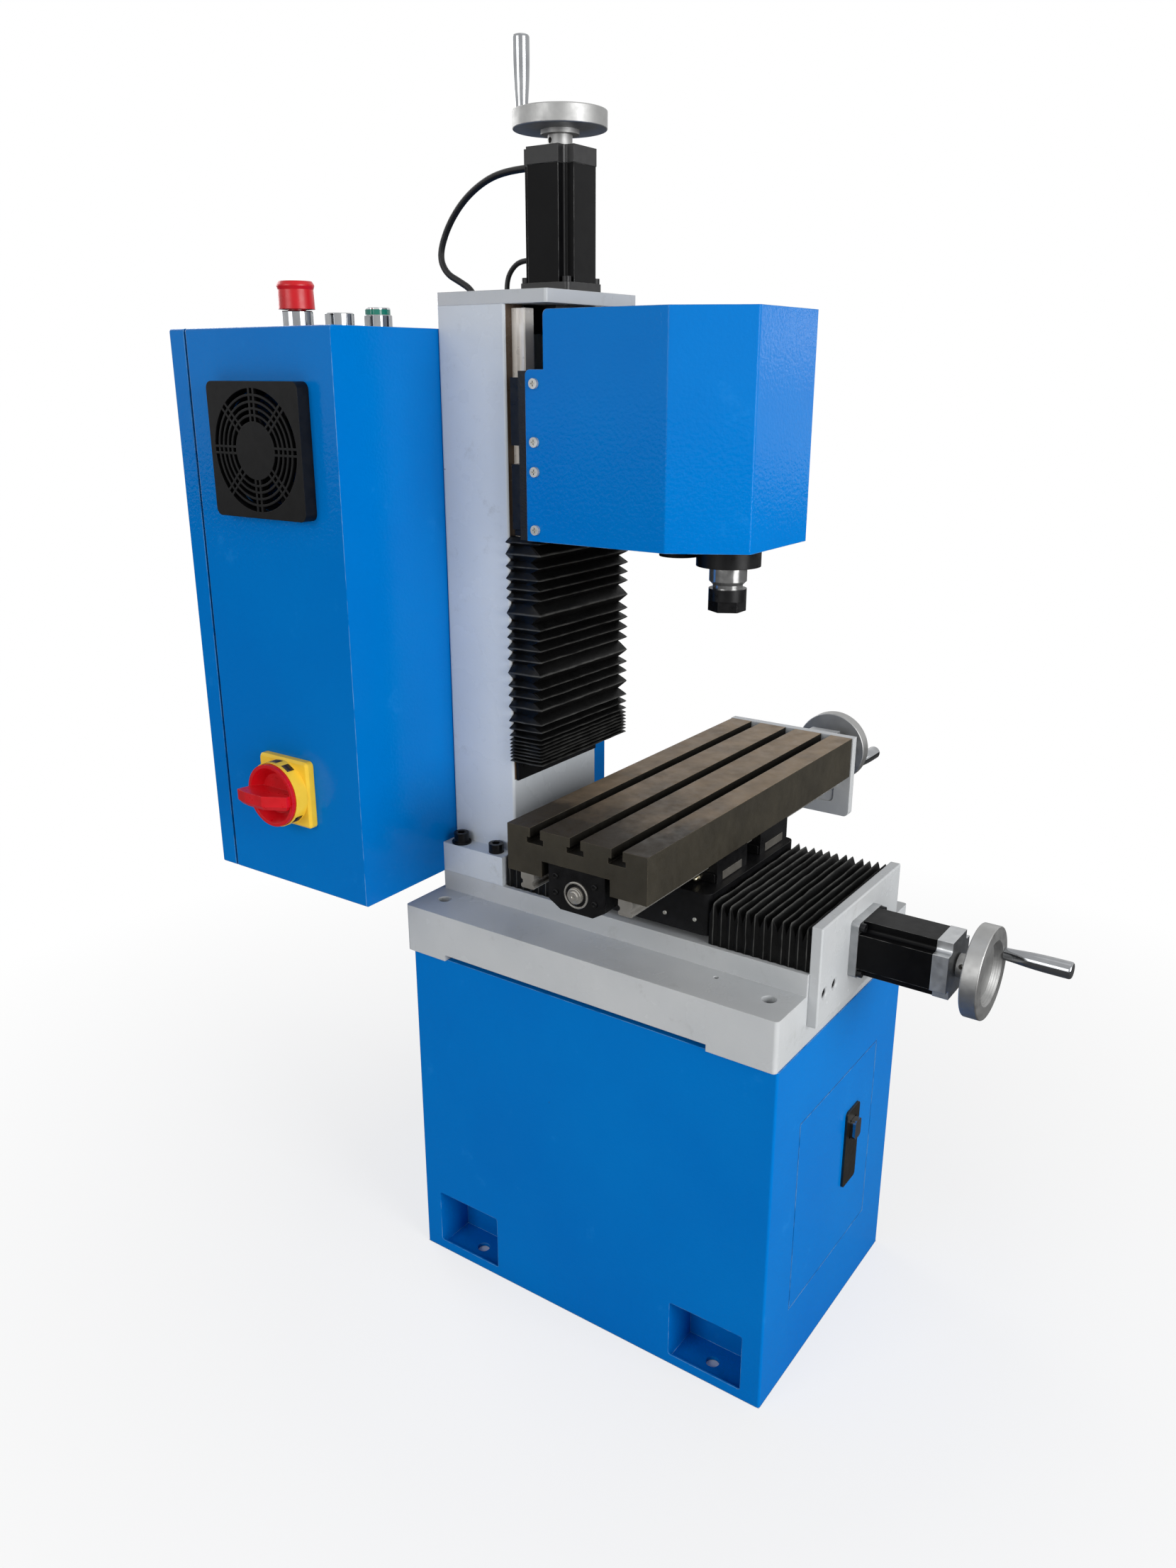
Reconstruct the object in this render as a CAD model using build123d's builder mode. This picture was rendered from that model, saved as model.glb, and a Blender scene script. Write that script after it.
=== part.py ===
from build123d import *
import math
import os

os.makedirs("parts", exist_ok=True)

# Benchtop three-axis milling machine on a steel cabinet, in millimetres.
# The origin is the middle of the cabinet's footprint on the floor.
# +X is the operator's right, +Y is the rear and +Z is up.

# Fits and cuts
slip = 0.3
run_fit = 0.05
overrun = 4.0
quarter_turn = 90.0

# Cabinet of folded sheet
cab_width = 300.0
cab_depth = 434.0
cab_height = 380.0
cab_sheet = 2.0
cab_floor = 4.0
cab_roof = 3.0
cab_bend = 2.5
pocket_length = 83.0
pocket_centre = 153.5
pocket_top = 76.0
pocket_lip = 11.0
pocket_depth = 48.0
pocket_corner = 2.5
anchor_x = 127.0
anchor_y = 152.0
anchor_radius = 7.0

# Cabinet door and its latch
door_width = 185.0
door_height = 215.0
door_bottom = 80.0
door_gap = 1.2
door_flange = 12.0
door_pin_radius = 2.4
door_pin_side = 14.0
door_pin_depth = 5.0
door_bracket_height = 7.0
door_bracket_width = 14.0
door_bracket_depth = 9.0
latch_width = 32.0
latch_height = 91.5
latch_x = 37.0
latch_z = 199.0
latch_plate_thickness = 2.5
latch_body_depth = 16.0
latch_rim = 5.0
latch_corner = 4.0
button_width = 15.0
button_height = 22.0
button_rise = 22.0
button_stand = 6.0
button_travel = 3.0

# Base casting
base_half_width = 153.5
base_front = -216.0
base_back = 222.5
base_thickness = 52.3
base_relief = 7.0
base_corner = 4.0
front_pad_end = -145.0
rear_pad_start = 170.0
wall_outer = 96.0
wall_thickness = 20.0
wall_height = 21.6
flange_hole_x = 119.5
flange_hole_front = -190.0
flange_hole_rear = 197.0
flange_hole_radius = 7.0
drain_x = 110.0
drain_y = -130.0
drain_radius = 2.5
drain_depth = 20.0

# Column casting and the plate on its top
column_half = 75.0
column_front = 134.3
column_back = 217.0
column_top = 1029.5
column_edge = 3.0
foot_half = 96.0
foot_front = 135.8
foot_top = 486.4
foot_screw_x = 85.5
foot_screw_front = 152.0
foot_screw_rear = 200.0
column_sill = 567.0
slot_half = 48.0
slot_lip = 16.0
cavity_half = 63.0
column_rear_wall = 12.0
top_plate_thickness = 12.0
top_plate_front = 86.0

# Cap screws of the column's foot
foot_screw_radius = 5.0
foot_screw_clearance = 0.5
foot_screw_length = 52.0
foot_head_radius = 8.0
foot_head_height = 10.0
foot_key_radius = 4.6
foot_key_depth = 5.0
foot_washer_radius = 10.5
foot_washer_thickness = 2.0

# Profile rails and their carriages
rail_width = 15.0
rail_height = 15.0
rail_outline_shares = (
    (-0.5, 0.0), (0.5, 0.0), (0.5, 0.38), (0.36, 0.5), (0.36, 0.66), (0.5, 0.78), (0.5, 0.93),
    (0.43, 1.0), (-0.43, 1.0), (-0.5, 0.93), (-0.5, 0.78), (-0.36, 0.66), (-0.36, 0.5), (-0.5, 0.38),
)
carriage_width = 34.0
carriage_length = 61.4
carriage_height = 28.0
carriage_gap = 4.3

# Ball screws, their blocks and nuts
screw_radius = 8.0
shaft_radius = 4.0
coupling_radius = 11.0
coupling_length = 9.0
nut_half = 22.0
nut_reach = 18.0
nut_length = 40.0
bearing_half = 31.0
bearing_length = 22.0

# Cross slide of the Y axis
slide_y = -30.0
y_rail_x = 55.0
y_rail_start = -208.0
y_rail_end = 128.0
y_carriage_pitch = 90.0
y_screw_height = 22.7
y_block_height = 44.0
y_front_block = -200.0
y_rear_block = 98.0
y_screw_end = 126.0
saddle_half_width = 90.0
saddle_half_depth = 80.0
saddle_thickness = 42.7
saddle_corner = 8.0
saddle_channel_half = 26.0
saddle_channel_depth = 20.0

# Front plate that carries the Y motor
y_plate_half = 93.0
y_plate_thickness = 10.4
y_plate_bottom = 401.0
y_plate_top = 501.0
y_plate_edge = 1.2
y_plate_hole_inner = 58.0
y_plate_hole_outer = 80.0
y_plate_hole_radius = 4.8
y_plate_hole_sink = 1.6
y_plate_hole_z = 432.0

# Table of the X axis
table_left = -197.0
table_length = 434.5
table_width = 153.0
table_thickness = 45.5
recess_width = 75.2
recess_depth = 16.0
slot_pitch = 44.8
slot_opening = 12.0
slot_neck = 9.0
slot_head_width = 18.6
slot_head_height = 5.5
x_rail_spread = 54.0
x_carriage_left = -31.0
x_carriage_right = 59.0
x_screw_drop = 9.0
x_nut_x = 14.0
x_block_inset = 2.0
x_block_right_inset = 41.5
x_block_foot = 8.0
x_block_chamfer = 13.0
end_plate_thickness = 10.0
end_plate_width = 156.0
end_plate_drop = 49.0
end_plate_corner = 6.0
end_plate_recess = 0.8
end_plate_panel_width = 116.0
end_plate_panel_height = 66.0
end_plate_panel_z = 530.0

# Stepper motors with a shaft at both ends
motor_bolt_pitch = 47.14
motor_bolt_edge = 4.93
motor_size = motor_bolt_pitch + 2 * motor_bolt_edge
motor_flange = 8.0
motor_cap = 15.0
motor_corner = 4.0
motor_notch = 10.3
motor_notch_radius = 3.5
motor_body_inset = 0.5
motor_bolt_radius = 2.5
motor_bolt_depth = 6.0
motor_head_radius = 4.2
motor_head_height = 5.0
hex_key_share = 0.6
motor_pilot_radius = 19.0
motor_pilot_height = 1.6
short_motor_length = 94.0
long_motor_length = 124.0

# Handwheels and their revolving handles
wheel_radius = 44.0
wheel_rim_width = 13.0
wheel_rim_thickness = 16.0
wheel_dish_depth = 7.0
wheel_dish_slope = 4.0
wheel_floor = 3.5
wheel_gap = 1.5
wheel_hub_radius = 11.5
wheel_hub_length = 14.0
wheel_collar_radius = 18.0
wheel_collar_thickness = 4.0
wheel_screw_radius = 2.6
wheel_screw_turn = 160.0
wheel_edge = 1.2
handle_orbit = 35.0
handle_pin_radius = 3.0
handle_pin_length = 44.0
handle_root_radius = 5.9
handle_tip_radius = 8.0
handle_length = 61.0
handle_dome = 6.0
handle_edge = 2.5
handle_waist_share = 0.3
x_handle_turn = 215.0
y_handle_turn = 10.0
z_handle_turn = 124.8
handle_waist_radius = 7.0

# Z axis on the column
z_rail_x = 57.0
z_rail_start = 600.0
z_rail_end = 1026.0
z_carriage_upper_rise = 115.9
z_carriage_lower_rise = 37.2
z_screw_y = 124.0
z_screw_end = 588.0
z_block_top_front = 107.5
z_block_depth = 38.0
z_block_height = 25.0
z_lower_block = 592.0
z_lower_block_front = 108.0
z_nut_rise = 56.5
z_nut_back = 142.0

# Head casting, its sheet cover and screws
slide_half = 92.5
slide_front = 76.0
head_bottom = 818.5
slide_height = 152.5
deck_half = 50.0
deck_front = -100.0
deck_rise = 3.5
deck_thickness = 20.0
rib_thickness = 8.0
rib_front = 12.0
rib_height = 108.0
cover_sheet = 1.5
cover_back = 97.0
cover_notch_back = 76.4
cover_notch_height = 153.7
cover_height = 204.4
cover_bend_y = -54.3
cover_front_y = -119.5
cover_front_half = 56.5
cover_bend_radius = 3.0
cover_corner = 5.0
cover_screw_y = 86.5
cover_screw_shares = (0.0701639, 0.4177049, 0.5921311, 0.9278689)
cover_screw_radius = 2.5
cover_screw_depth = 12.0
cover_head_radius = 4.6
cover_head_height = 3.0
cover_slot_width = 1.2
cover_slot_length = 5.0
cover_slot_depth = 1.4

# Spindle, collet nut and belt drive
spindle_y = -68.0
spindle_flange_radius = 30.5
spindle_flange_drop = 20.5
housing_radius = 28.0
housing_rise = 126.5
spindle_shaft_radius = 12.5
spindle_nose_radius = 17.8
spindle_nose_drop = 38.0
spindle_nose_bevel = 3.5
spindle_thread_radius = 14.2
spindle_thread_drop = 56.5
nut_gap = 3.5
nut_height = 21.4
nut_radius = 18.0
nut_hex_flat = 31.5
nut_hex_height = 10.0
nut_lip = 5.0
nut_lip_radius = 10.6
collet_radius = 10.2
collet_nose_radius = 8.6
collet_bore_radius = 3.0
collet_length = 30.0
collet_stand = 0.6
drive_motor_y = -15.0
drive_motor_radius = 20.0
drive_motor_drop = 15.5
drive_motor_length = 127.0
drive_collar_radius = 24.0
drive_collar_height = 6.0
drive_shaft_radius = 5.0
pulley_rise = 132.5
pulley_height = 18.0
spindle_pulley_radius = 22.0
motor_pulley_radius = 16.0
belt_thickness = 2.2
belt_width = 12.0

# Bellows, as the space that their folds take
z_bellows_half = 78.0
z_bellows_front = 95.0
z_bellows_wall = 8.0
z_bellows_bottom = 588.0
z_bracket_half = 71.0
z_bracket_bottom = 566.0
z_bracket_thickness = 3.0
y_bellows_half = 92.0
y_bellows_top = 498.0
y_bellows_wall = 9.0

# Electrical box behind the column
box_half = 216.0
box_back = 413.0
box_bottom = 453.0
box_top = 1009.3
box_sheet = 2.0
box_corner = 3.0
box_door_gap = 3.0
box_door_depth = 20.6
box_hinge_side = 5.0
box_hinge_radius = 4.4
box_hinge_pin_radius = 2.5
box_hinge_length = 22.0
box_hinge_leaf = 2.5
box_hinge_reach = 16.0
box_hinge_shares = (0.1923423, 0.8035233)
panel_half = 185.0
panel_bottom = 490.0
panel_top = 975.0
panel_thickness = 2.5
panel_standoff = 10.0
standoff_radius = 5.0
standoff_inset = 15.0
supply_width = 115.0
supply_height = 215.0
supply_depth = 50.0
supply_x = -95.0
supply_z = 720.0
driver_width = 34.0
driver_height = 118.0
driver_depth = 75.0
driver_start = 10.0
driver_pitch = 52.0
driver_z = 860.0
controller_width = 150.0
controller_height = 130.0
controller_depth = 62.0
controller_x = 88.0
controller_z = 640.0
gland_radius = 9.0
gland_nut_height = 8.0
gland_cap_radius = 7.4
gland_cap_height = 9.0
gland_y = 230.0
lower_gland_y = 380.0
lower_gland_shares = (-0.5555556, -0.3703704, -0.1851852)

# Fan in the left wall of the box
fan_y = 311.0
fan_z = 900.0
fan_guard_size = 124.0
fan_guard_depth = 14.0
fan_guard_corner = 7.0
fan_opening_radius = 56.0
fan_bar = 2.2
fan_bar_depth = 3.5
fan_ring_shares = (0.5714286, 0.6785714, 0.7857143, 0.8928571)
fan_spoke_count = 8
fan_spoke_gap = 6.0
fan_disc_radius = 26.5
fan_frame_size = 119.0
fan_frame_depth = 25.0
fan_frame_back = 3.0
fan_hub_radius = 20.0
fan_pin_radius = 3.0
fan_blade_radius = 54.0
fan_blade_count = 7
fan_blade_thickness = 2.0
fan_blade_pitch = 38.0
fan_rotor_inset = 4.0
fan_rotor_depth = 15.0
fan_strut_width = 6.0

# Main switch on the left wall of the box
switch_y = 316.0
switch_z = 562.0
switch_size = 71.0
switch_corner = 5.0
switch_edge = 2.5
switch_plate_thickness = 9.0
switch_collar_radius = 33.8
switch_collar_height = 14.5
switch_knob_radius = 32.6
switch_knob_rise = 4.5
switch_knob_sink = 9.0
switch_knob_rim = 3.5
switch_knob_dish = 10.0
switch_dish_floor = 21.0
switch_blade_height = 27.5
switch_blade_reach = 32.0
switch_blade_crest = 11.0
switch_blade_flare = 4.5
switch_blade_taper = 38.0
switch_blade_shares = ((0.0, -0.92), (0.55, -0.92), (1.0, -0.2), (1.0, 0.55), (0.9, 1.0), (0.0, 0.86))
switch_shaft_radius = 3.0
switch_body_size = 46.0
switch_body_depth = 42.0

# Push buttons on the top of the box
panel_button_y = 315.0
panel_button_first = -162.0
panel_button_pitch = 54.0
bezel_radius = 14.8
bezel_barrel = 11.0
bezel_bore = 9.0
bezel_height = 15.0
bezel_edge = 0.8
bezel_wall = 1.4
bezel_mouth_depth = 6.0
bezel_nut_height = 10.0
cap_sink = 2.3
start_lens_height = 7.0
estop_radius = 17.5
estop_height = 24.5
estop_skirt_gap = 1.5
estop_skirt_depth = 6.0
estop_travel = 4.0
estop_outline_shares = ((0.97, 0.0), (0.94, 0.7), (1.0, 0.82), (1.0, 0.87), (0.89, 1.0))

# Cables that stay on the machine
motor_cable_radius = 3.25
brake_cable_radius = 2.5
arc_run_share = 0.45
cable_relief_radius = 5.5
cable_relief_length = 9.5
brake_relief_length = 3.5
brake_relief_radius = 4.0
grommet_radius = 5.5
grommet_height = 3.0
motor_cable_route = (
    (0, 162.0, 1152.5), (0, 185, 1152.5), (0, 214, 1146.5), (0, 243, 1130.5), (0, 265, 1107), (0, 276.5, 1081),
    (0, 268, 1064.5), (0, 250, 1056), (0, 236, 1048.5), (0, 230, 1037), (0, 230, 1026.3),
)
brake_cable_route = (
    (-10, 155.5, 1071), (-10, 165, 1071), (-10, 175.5, 1064.5), (-10, 182, 1054), (-10, 182, 1044.5),
)

# Levels and places that follow from the sizes above
base_bottom = cab_height
base_top = base_bottom + base_thickness
wall_top = base_top + wall_height
saddle_bottom = base_top + carriage_height
saddle_top = saddle_bottom + saddle_thickness
table_bottom = saddle_top + carriage_height
table_top = table_bottom + table_thickness
table_right = table_left + table_length
y_screw_z = base_top + y_screw_height
x_screw_z = table_bottom - x_screw_drop
y_plate_face = base_front - y_plate_thickness
end_plate_face = table_right + end_plate_thickness
top_plate_face = column_top + top_plate_thickness
slide_back = column_front - carriage_height
z_carriage_upper = head_bottom + z_carriage_upper_rise
z_carriage_lower = head_bottom + z_carriage_lower_rise
z_nut_bottom = head_bottom + z_nut_rise
slide_top = head_bottom + slide_height
cover_notch_z = head_bottom + cover_notch_height
cover_top = head_bottom + cover_height
cover_screw_heights = [head_bottom + share * slide_height for share in cover_screw_shares]
spindle_flange_bottom = head_bottom - spindle_flange_drop
housing_top = head_bottom + housing_rise
spindle_nose_bottom = head_bottom - spindle_nose_drop
spindle_thread_bottom = head_bottom - spindle_thread_drop
nut_top = spindle_nose_bottom - nut_gap
nut_bottom = nut_top - nut_height
collet_face = nut_bottom - collet_stand
drive_motor_bottom = head_bottom - drive_motor_drop
drive_motor_top = drive_motor_bottom + drive_motor_length
pulley_bottom = head_bottom + pulley_rise
deck_bottom = head_bottom + deck_rise
deck_top = deck_bottom + deck_thickness
door_left = -door_width / 2
door_top = door_bottom + door_height
door_pin_x = door_left + door_pin_side
door_pin_y = -cab_depth / 2 + door_pin_depth
box_front = column_back
box_inner_front = box_front + box_sheet
box_wall = box_half - box_sheet
panel_face = box_inner_front + panel_standoff + panel_thickness
box_hinge_heights = [box_bottom + share * (box_top - box_bottom) for share in box_hinge_shares]
lower_gland_places = [share * box_half for share in lower_gland_shares]
fan_rings = [share * fan_opening_radius for share in fan_ring_shares]

x_motor_plane = Plane(origin=(end_plate_face, slide_y, x_screw_z), x_dir=(0, 1, 0), z_dir=(1, 0, 0))
y_motor_plane = Plane(origin=(0, y_plate_face, y_screw_z), x_dir=(1, 0, 0), z_dir=(0, -1, 0))
z_motor_plane = Plane(origin=(0, z_screw_y, top_plate_face), x_dir=(1, 0, 0), z_dir=(0, 0, 1))

upright = (Align.CENTER, Align.CENTER, Align.MIN)
axis_turn = {"x": (0, 90, 0), "y": (-90, 0, 0), "z": (0, 0, 0)}
both_sides = (-1, 1)


def save(builder, label):
    """Label a finished piece and write it as one STEP file."""
    builder.part.label = label
    export_step(builder.part, f"parts/{label}.step")


def block(x0, x1, y0, y1, z0, z1, mode=Mode.ADD):
    """Add or cut a box between two corners."""
    with Locations(((x0 + x1) / 2, (y0 + y1) / 2, (z0 + z1) / 2)):
        Box(x1 - x0, y1 - y0, z1 - z0, mode=mode)


def rod(axis, start, radius, length, mode=Mode.ADD):
    """Add or cut a cylinder that runs along an axis from its start point."""
    with Locations(Location(start, axis_turn[axis])):
        Cylinder(radius, length, align=upright, mode=mode)


def disc(plane, radius, height, mode=Mode.ADD):
    """Add or cut a cylinder that stands on a plane."""
    with BuildSketch(plane) as section:
        Circle(radius)
    extrude(section.sketch, amount=height, mode=mode)


def rail(plane, length):
    """Add a profile rail; the plane's Y points away from the face that carries it."""
    with BuildSketch(plane) as section:
        Polygon(*[(a * rail_width, b * rail_height) for a, b in rail_outline_shares], align=None)
    extrude(section.sketch, amount=length)


def carriage(plane):
    """Add a carriage astride a rail, centred on the plane."""
    channel_top = rail_height + slip
    with BuildSketch(plane) as section:
        with Locations((0, (carriage_gap + carriage_height) / 2)):
            Rectangle(carriage_width, carriage_height - carriage_gap)
        with Locations((0, (carriage_gap + channel_top) / 2)):
            Rectangle(rail_width + 2 * slip, channel_top - carriage_gap, mode=Mode.SUBTRACT)
    extrude(section.sketch, amount=carriage_length / 2, both=True)


def motor_slice(plane, start, length, size):
    """Add one square slice of a motor, with the corners notched for its screws, and the shaft's bore."""
    with BuildSketch(plane.offset(start)) as section:
        Rectangle(size, size)
        with GridLocations(size - motor_notch, size - motor_notch, 2, 2):
            Rectangle(motor_notch, motor_notch, mode=Mode.SUBTRACT)
        fillet(section.vertices().sort_by_distance((0, 0, 0))[:4], motor_notch_radius)
        Circle(shaft_radius + run_fit, mode=Mode.SUBTRACT)
    extrude(section.sketch, amount=length)


def motor_caps(plane, length):
    """Add a motor's mounting flange with its pilot, and the cap at the other end."""
    with BuildSketch(plane) as section:
        RectangleRounded(motor_size, motor_size, motor_corner)
        Circle(shaft_radius + run_fit, mode=Mode.SUBTRACT)
    extrude(section.sketch, amount=motor_flange)
    with BuildSketch(plane.offset(-motor_pilot_height)) as section:
        Circle(motor_pilot_radius)
        Circle(shaft_radius + run_fit, mode=Mode.SUBTRACT)
    extrude(section.sketch, amount=motor_pilot_height)
    with BuildSketch(plane) as section:
        with GridLocations(motor_bolt_pitch, motor_bolt_pitch, 2, 2):
            Circle(motor_bolt_radius + slip)
    extrude(section.sketch, amount=motor_flange, mode=Mode.SUBTRACT)
    motor_slice(plane, length - motor_cap, motor_cap, motor_size)


def motor_body(plane, length):
    """Add the stack of laminations between a motor's two caps."""
    size = motor_size - 2 * motor_body_inset
    motor_slice(plane, motor_flange, length - motor_flange - motor_cap, size)


def motor_bolts(plane):
    """Add the four cap screws that hold a motor's flange to its plate."""
    with BuildSketch(plane.offset(motor_flange)) as section:
        with GridLocations(motor_bolt_pitch, motor_bolt_pitch, 2, 2):
            Circle(motor_head_radius)
    extrude(section.sketch, amount=motor_head_height)
    with BuildSketch(plane.offset(motor_flange)) as section:
        with GridLocations(motor_bolt_pitch, motor_bolt_pitch, 2, 2):
            Circle(motor_bolt_radius)
    extrude(section.sketch, amount=-motor_flange - motor_bolt_depth)
    with BuildSketch(plane.offset(motor_flange + motor_head_height)) as section:
        with GridLocations(motor_bolt_pitch, motor_bolt_pitch, 2, 2):
            RegularPolygon(motor_bolt_radius * hex_key_share, 6)
    extrude(section.sketch, amount=-motor_head_height * hex_key_share, mode=Mode.SUBTRACT)


def motor_plate_holes(plane, depth):
    """Cut a motor's pilot bore and its four tapped holes out of the plate behind the plane."""
    with BuildSketch(plane) as section:
        Circle(motor_pilot_radius + run_fit)
    extrude(section.sketch, amount=-depth, mode=Mode.SUBTRACT)
    with BuildSketch(plane) as section:
        with GridLocations(motor_bolt_pitch, motor_bolt_pitch, 2, 2):
            Circle(motor_bolt_radius + run_fit)
    extrude(section.sketch, amount=-motor_bolt_depth, mode=Mode.SUBTRACT)


def handwheel(plane, turn):
    """Add a dished handwheel on a motor's rear shaft, with the pin that its handle turns on."""
    side = Plane(origin=plane.origin, x_dir=plane.x_dir, z_dir=plane.x_dir.cross(plane.z_dir))
    bore = shaft_radius + run_fit
    rim_start = wheel_gap + wheel_hub_length
    rim_end = rim_start + wheel_rim_thickness
    rim_inner = wheel_radius - wheel_rim_width
    dish_floor = rim_end - wheel_dish_depth
    bore_end = dish_floor - wheel_floor
    collar_start = rim_start - wheel_collar_thickness
    outline = (
        (bore, wheel_gap), (wheel_hub_radius, wheel_gap), (wheel_hub_radius, collar_start),
        (wheel_collar_radius, collar_start), (wheel_collar_radius, rim_start), (wheel_radius, rim_start),
        (wheel_radius, rim_end), (rim_inner, rim_end), (rim_inner - wheel_dish_slope, dish_floor),
        (0, dish_floor), (0, bore_end), (bore, bore_end),
    )
    with BuildSketch(side) as profile:
        Polygon(*outline, align=None)
        fillet(profile.vertices().group_by(Axis.X)[-1], wheel_edge)
    revolve(profile.sketch, axis=Axis(plane.origin, plane.z_dir))
    hub_middle = (wheel_gap + collar_start) / 2
    drill = Plane(plane * Pos(0, 0, hub_middle) * Rot(0, 0, wheel_screw_turn) * Rot(0, quarter_turn, 0))
    with BuildSketch(drill) as section:
        Circle(wheel_screw_radius)
    extrude(section.sketch, amount=wheel_hub_radius + overrun, mode=Mode.SUBTRACT)
    with BuildSketch(plane.offset(rim_end)) as section:
        with PolarLocations(handle_orbit, 1, start_angle=turn):
            Circle(handle_pin_radius)
    extrude(section.sketch, amount=handle_pin_length)


def handle(plane, turn):
    """Add a tapered handle that turns freely on its handwheel's pin."""
    face = wheel_gap + wheel_hub_length + wheel_rim_thickness + slip
    seat = plane * Pos(0, 0, face) * Rot(0, 0, turn) * Pos(handle_orbit, 0, 0)
    foot = Plane(seat)
    side = Plane(origin=foot.origin, x_dir=foot.x_dir, z_dir=foot.x_dir.cross(foot.z_dir))
    bore = handle_pin_radius + run_fit
    bore_end = handle_pin_length + slip
    shoulder = handle_length - handle_dome
    with BuildSketch(side) as section:
        with BuildLine():
            Polyline((0, bore_end), (bore, bore_end), (bore, 0), (handle_root_radius, 0))
            Spline(
                (handle_root_radius, 0),
                (handle_waist_radius, handle_waist_share * handle_length),
                (handle_tip_radius, shoulder),
                tangents=((0, 1), (0, 1)),
            )
            Polyline((handle_tip_radius, shoulder), (handle_tip_radius, handle_length), (0, handle_length),
                     (0, bore_end))
        make_face()
        fillet(section.vertices().group_by(Axis.Y)[-1].sort_by(Axis.X)[-1], handle_edge)
    revolve(section.sketch, axis=Axis(foot.origin, foot.z_dir))


def turned_screw(plane, length, wheel_reach, screw_start, coupling_start):
    """Add a ball screw that ends in a motor shaft, and the coupling on it, along a motor's axis."""
    disc(plane.offset(screw_start), screw_radius, length)
    disc(plane.offset(screw_start + length), shaft_radius, wheel_reach - screw_start - length)
    with BuildSketch(plane.offset(coupling_start)) as section:
        Circle(coupling_radius)
        Circle(shaft_radius + run_fit, mode=Mode.SUBTRACT)
    extrude(section.sketch, amount=coupling_length)


def cord_radii(route):
    """Return the largest arc radius that the runs on both sides of each corner allow."""
    points = [Vector(*p) for p in route]
    radii = []
    for before, corner, after in zip(points, points[1:], points[2:]):
        turn = (corner - before).get_angle(after - corner)
        run = min((corner - before).length, (after - corner).length)
        radii.append(arc_run_share * run / math.tan(math.radians(turn / 2)))
    return radii


def cord(route, radius):
    """Add a cable's tube along straight runs joined by tangent arcs."""
    radii = cord_radii(route)
    with BuildLine() as path:
        FilletPolyline(*route, radius=radii)
    with BuildSketch(Plane(origin=path.line @ 0, z_dir=path.line % 0)) as section:
        Circle(radius)
    sweep(section.sketch, path=path.line)


# Cabinet shell: folded walls, four pockets over the floor anchors and the door's opening
with BuildPart() as cabinet_shell:
    Box(cab_width, cab_depth, cab_height, align=upright)
    fillet(cabinet_shell.edges().filter_by(Axis.Z), cab_bend)
    with Locations((0, 0, cab_floor)):
        Box(
            cab_width - 2 * cab_sheet,
            cab_depth - 2 * cab_sheet,
            cab_height - cab_floor - cab_roof,
            align=upright,
            mode=Mode.SUBTRACT,
        )
    for side in both_sides:
        for end in both_sides:
            pocket_x = side * (cab_width - pocket_depth) / 2
            with Locations((pocket_x, end * pocket_centre, 0)):
                Box(pocket_depth, pocket_length + 2 * cab_sheet, pocket_top + cab_sheet, align=upright)
    for side in both_sides:
        for end in both_sides:
            pocket_x = side * (cab_width - pocket_depth) / 2
            with Locations((pocket_x, end * pocket_centre, cab_floor)):
                Box(
                    pocket_depth - 2 * cab_sheet,
                    pocket_length,
                    pocket_top - cab_floor,
                    align=upright,
                    mode=Mode.SUBTRACT,
                )
            with BuildSketch(Plane.YZ.offset(side * cab_width / 2)):
                with Locations((end * pocket_centre, (pocket_lip + pocket_top) / 2)):
                    RectangleRounded(pocket_length, pocket_top - pocket_lip, pocket_corner)
            extrude(amount=-side * pocket_depth / 2, mode=Mode.SUBTRACT)
            rod("z", (side * anchor_x, end * anchor_y, -overrun), anchor_radius, cab_floor + 2 * overrun,
                Mode.SUBTRACT)
        for hole_y in (flange_hole_front, flange_hole_rear):
            rod("z", (side * flange_hole_x, hole_y, cab_height - cab_roof - overrun), flange_hole_radius,
                cab_roof + 2 * overrun, Mode.SUBTRACT)
    block(door_left - door_gap, -door_left + door_gap, -cab_depth / 2 - overrun,
          -cab_depth / 2 + cab_sheet + overrun, door_bottom - door_gap, door_top + door_gap, Mode.SUBTRACT)
    for bracket_z in (door_top + door_gap, door_bottom - door_gap - door_bracket_height):
        block(door_pin_x - door_bracket_width / 2, door_pin_x + door_bracket_width / 2,
              -cab_depth / 2 + cab_sheet, -cab_depth / 2 + cab_sheet + door_bracket_depth,
              bracket_z, bracket_z + door_bracket_height)
        rod("z", (door_pin_x, door_pin_y, bracket_z), door_pin_radius + run_fit, door_bracket_height,
            Mode.SUBTRACT)
save(cabinet_shell, "cabinet_shell")

# Cabinet door: a folded pan with a pivot pin at the top and bottom of its left edge
with BuildPart() as cabinet_door:
    block(door_left, -door_left, -cab_depth / 2, -cab_depth / 2 + door_flange, door_bottom, door_top)
    block(door_left + cab_sheet, -door_left - cab_sheet, -cab_depth / 2 + cab_sheet,
          -cab_depth / 2 + door_flange + overrun, door_bottom + cab_sheet, door_top - cab_sheet, Mode.SUBTRACT)
    pin_length = cab_sheet + door_gap + door_bracket_height
    rod("z", (door_pin_x, door_pin_y, door_top - cab_sheet), door_pin_radius, pin_length)
    rod("z", (door_pin_x, door_pin_y, door_bottom + cab_sheet - pin_length), door_pin_radius, pin_length)
    with BuildSketch(Plane.XZ.offset(cab_depth / 2)):
        with Locations((latch_x, latch_z)):
            Rectangle(latch_width - 2 * latch_rim + 2 * run_fit, latch_height - 2 * latch_rim + 2 * run_fit)
    extrude(amount=-cab_sheet, mode=Mode.SUBTRACT)
save(cabinet_door, "cabinet_door")

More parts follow.
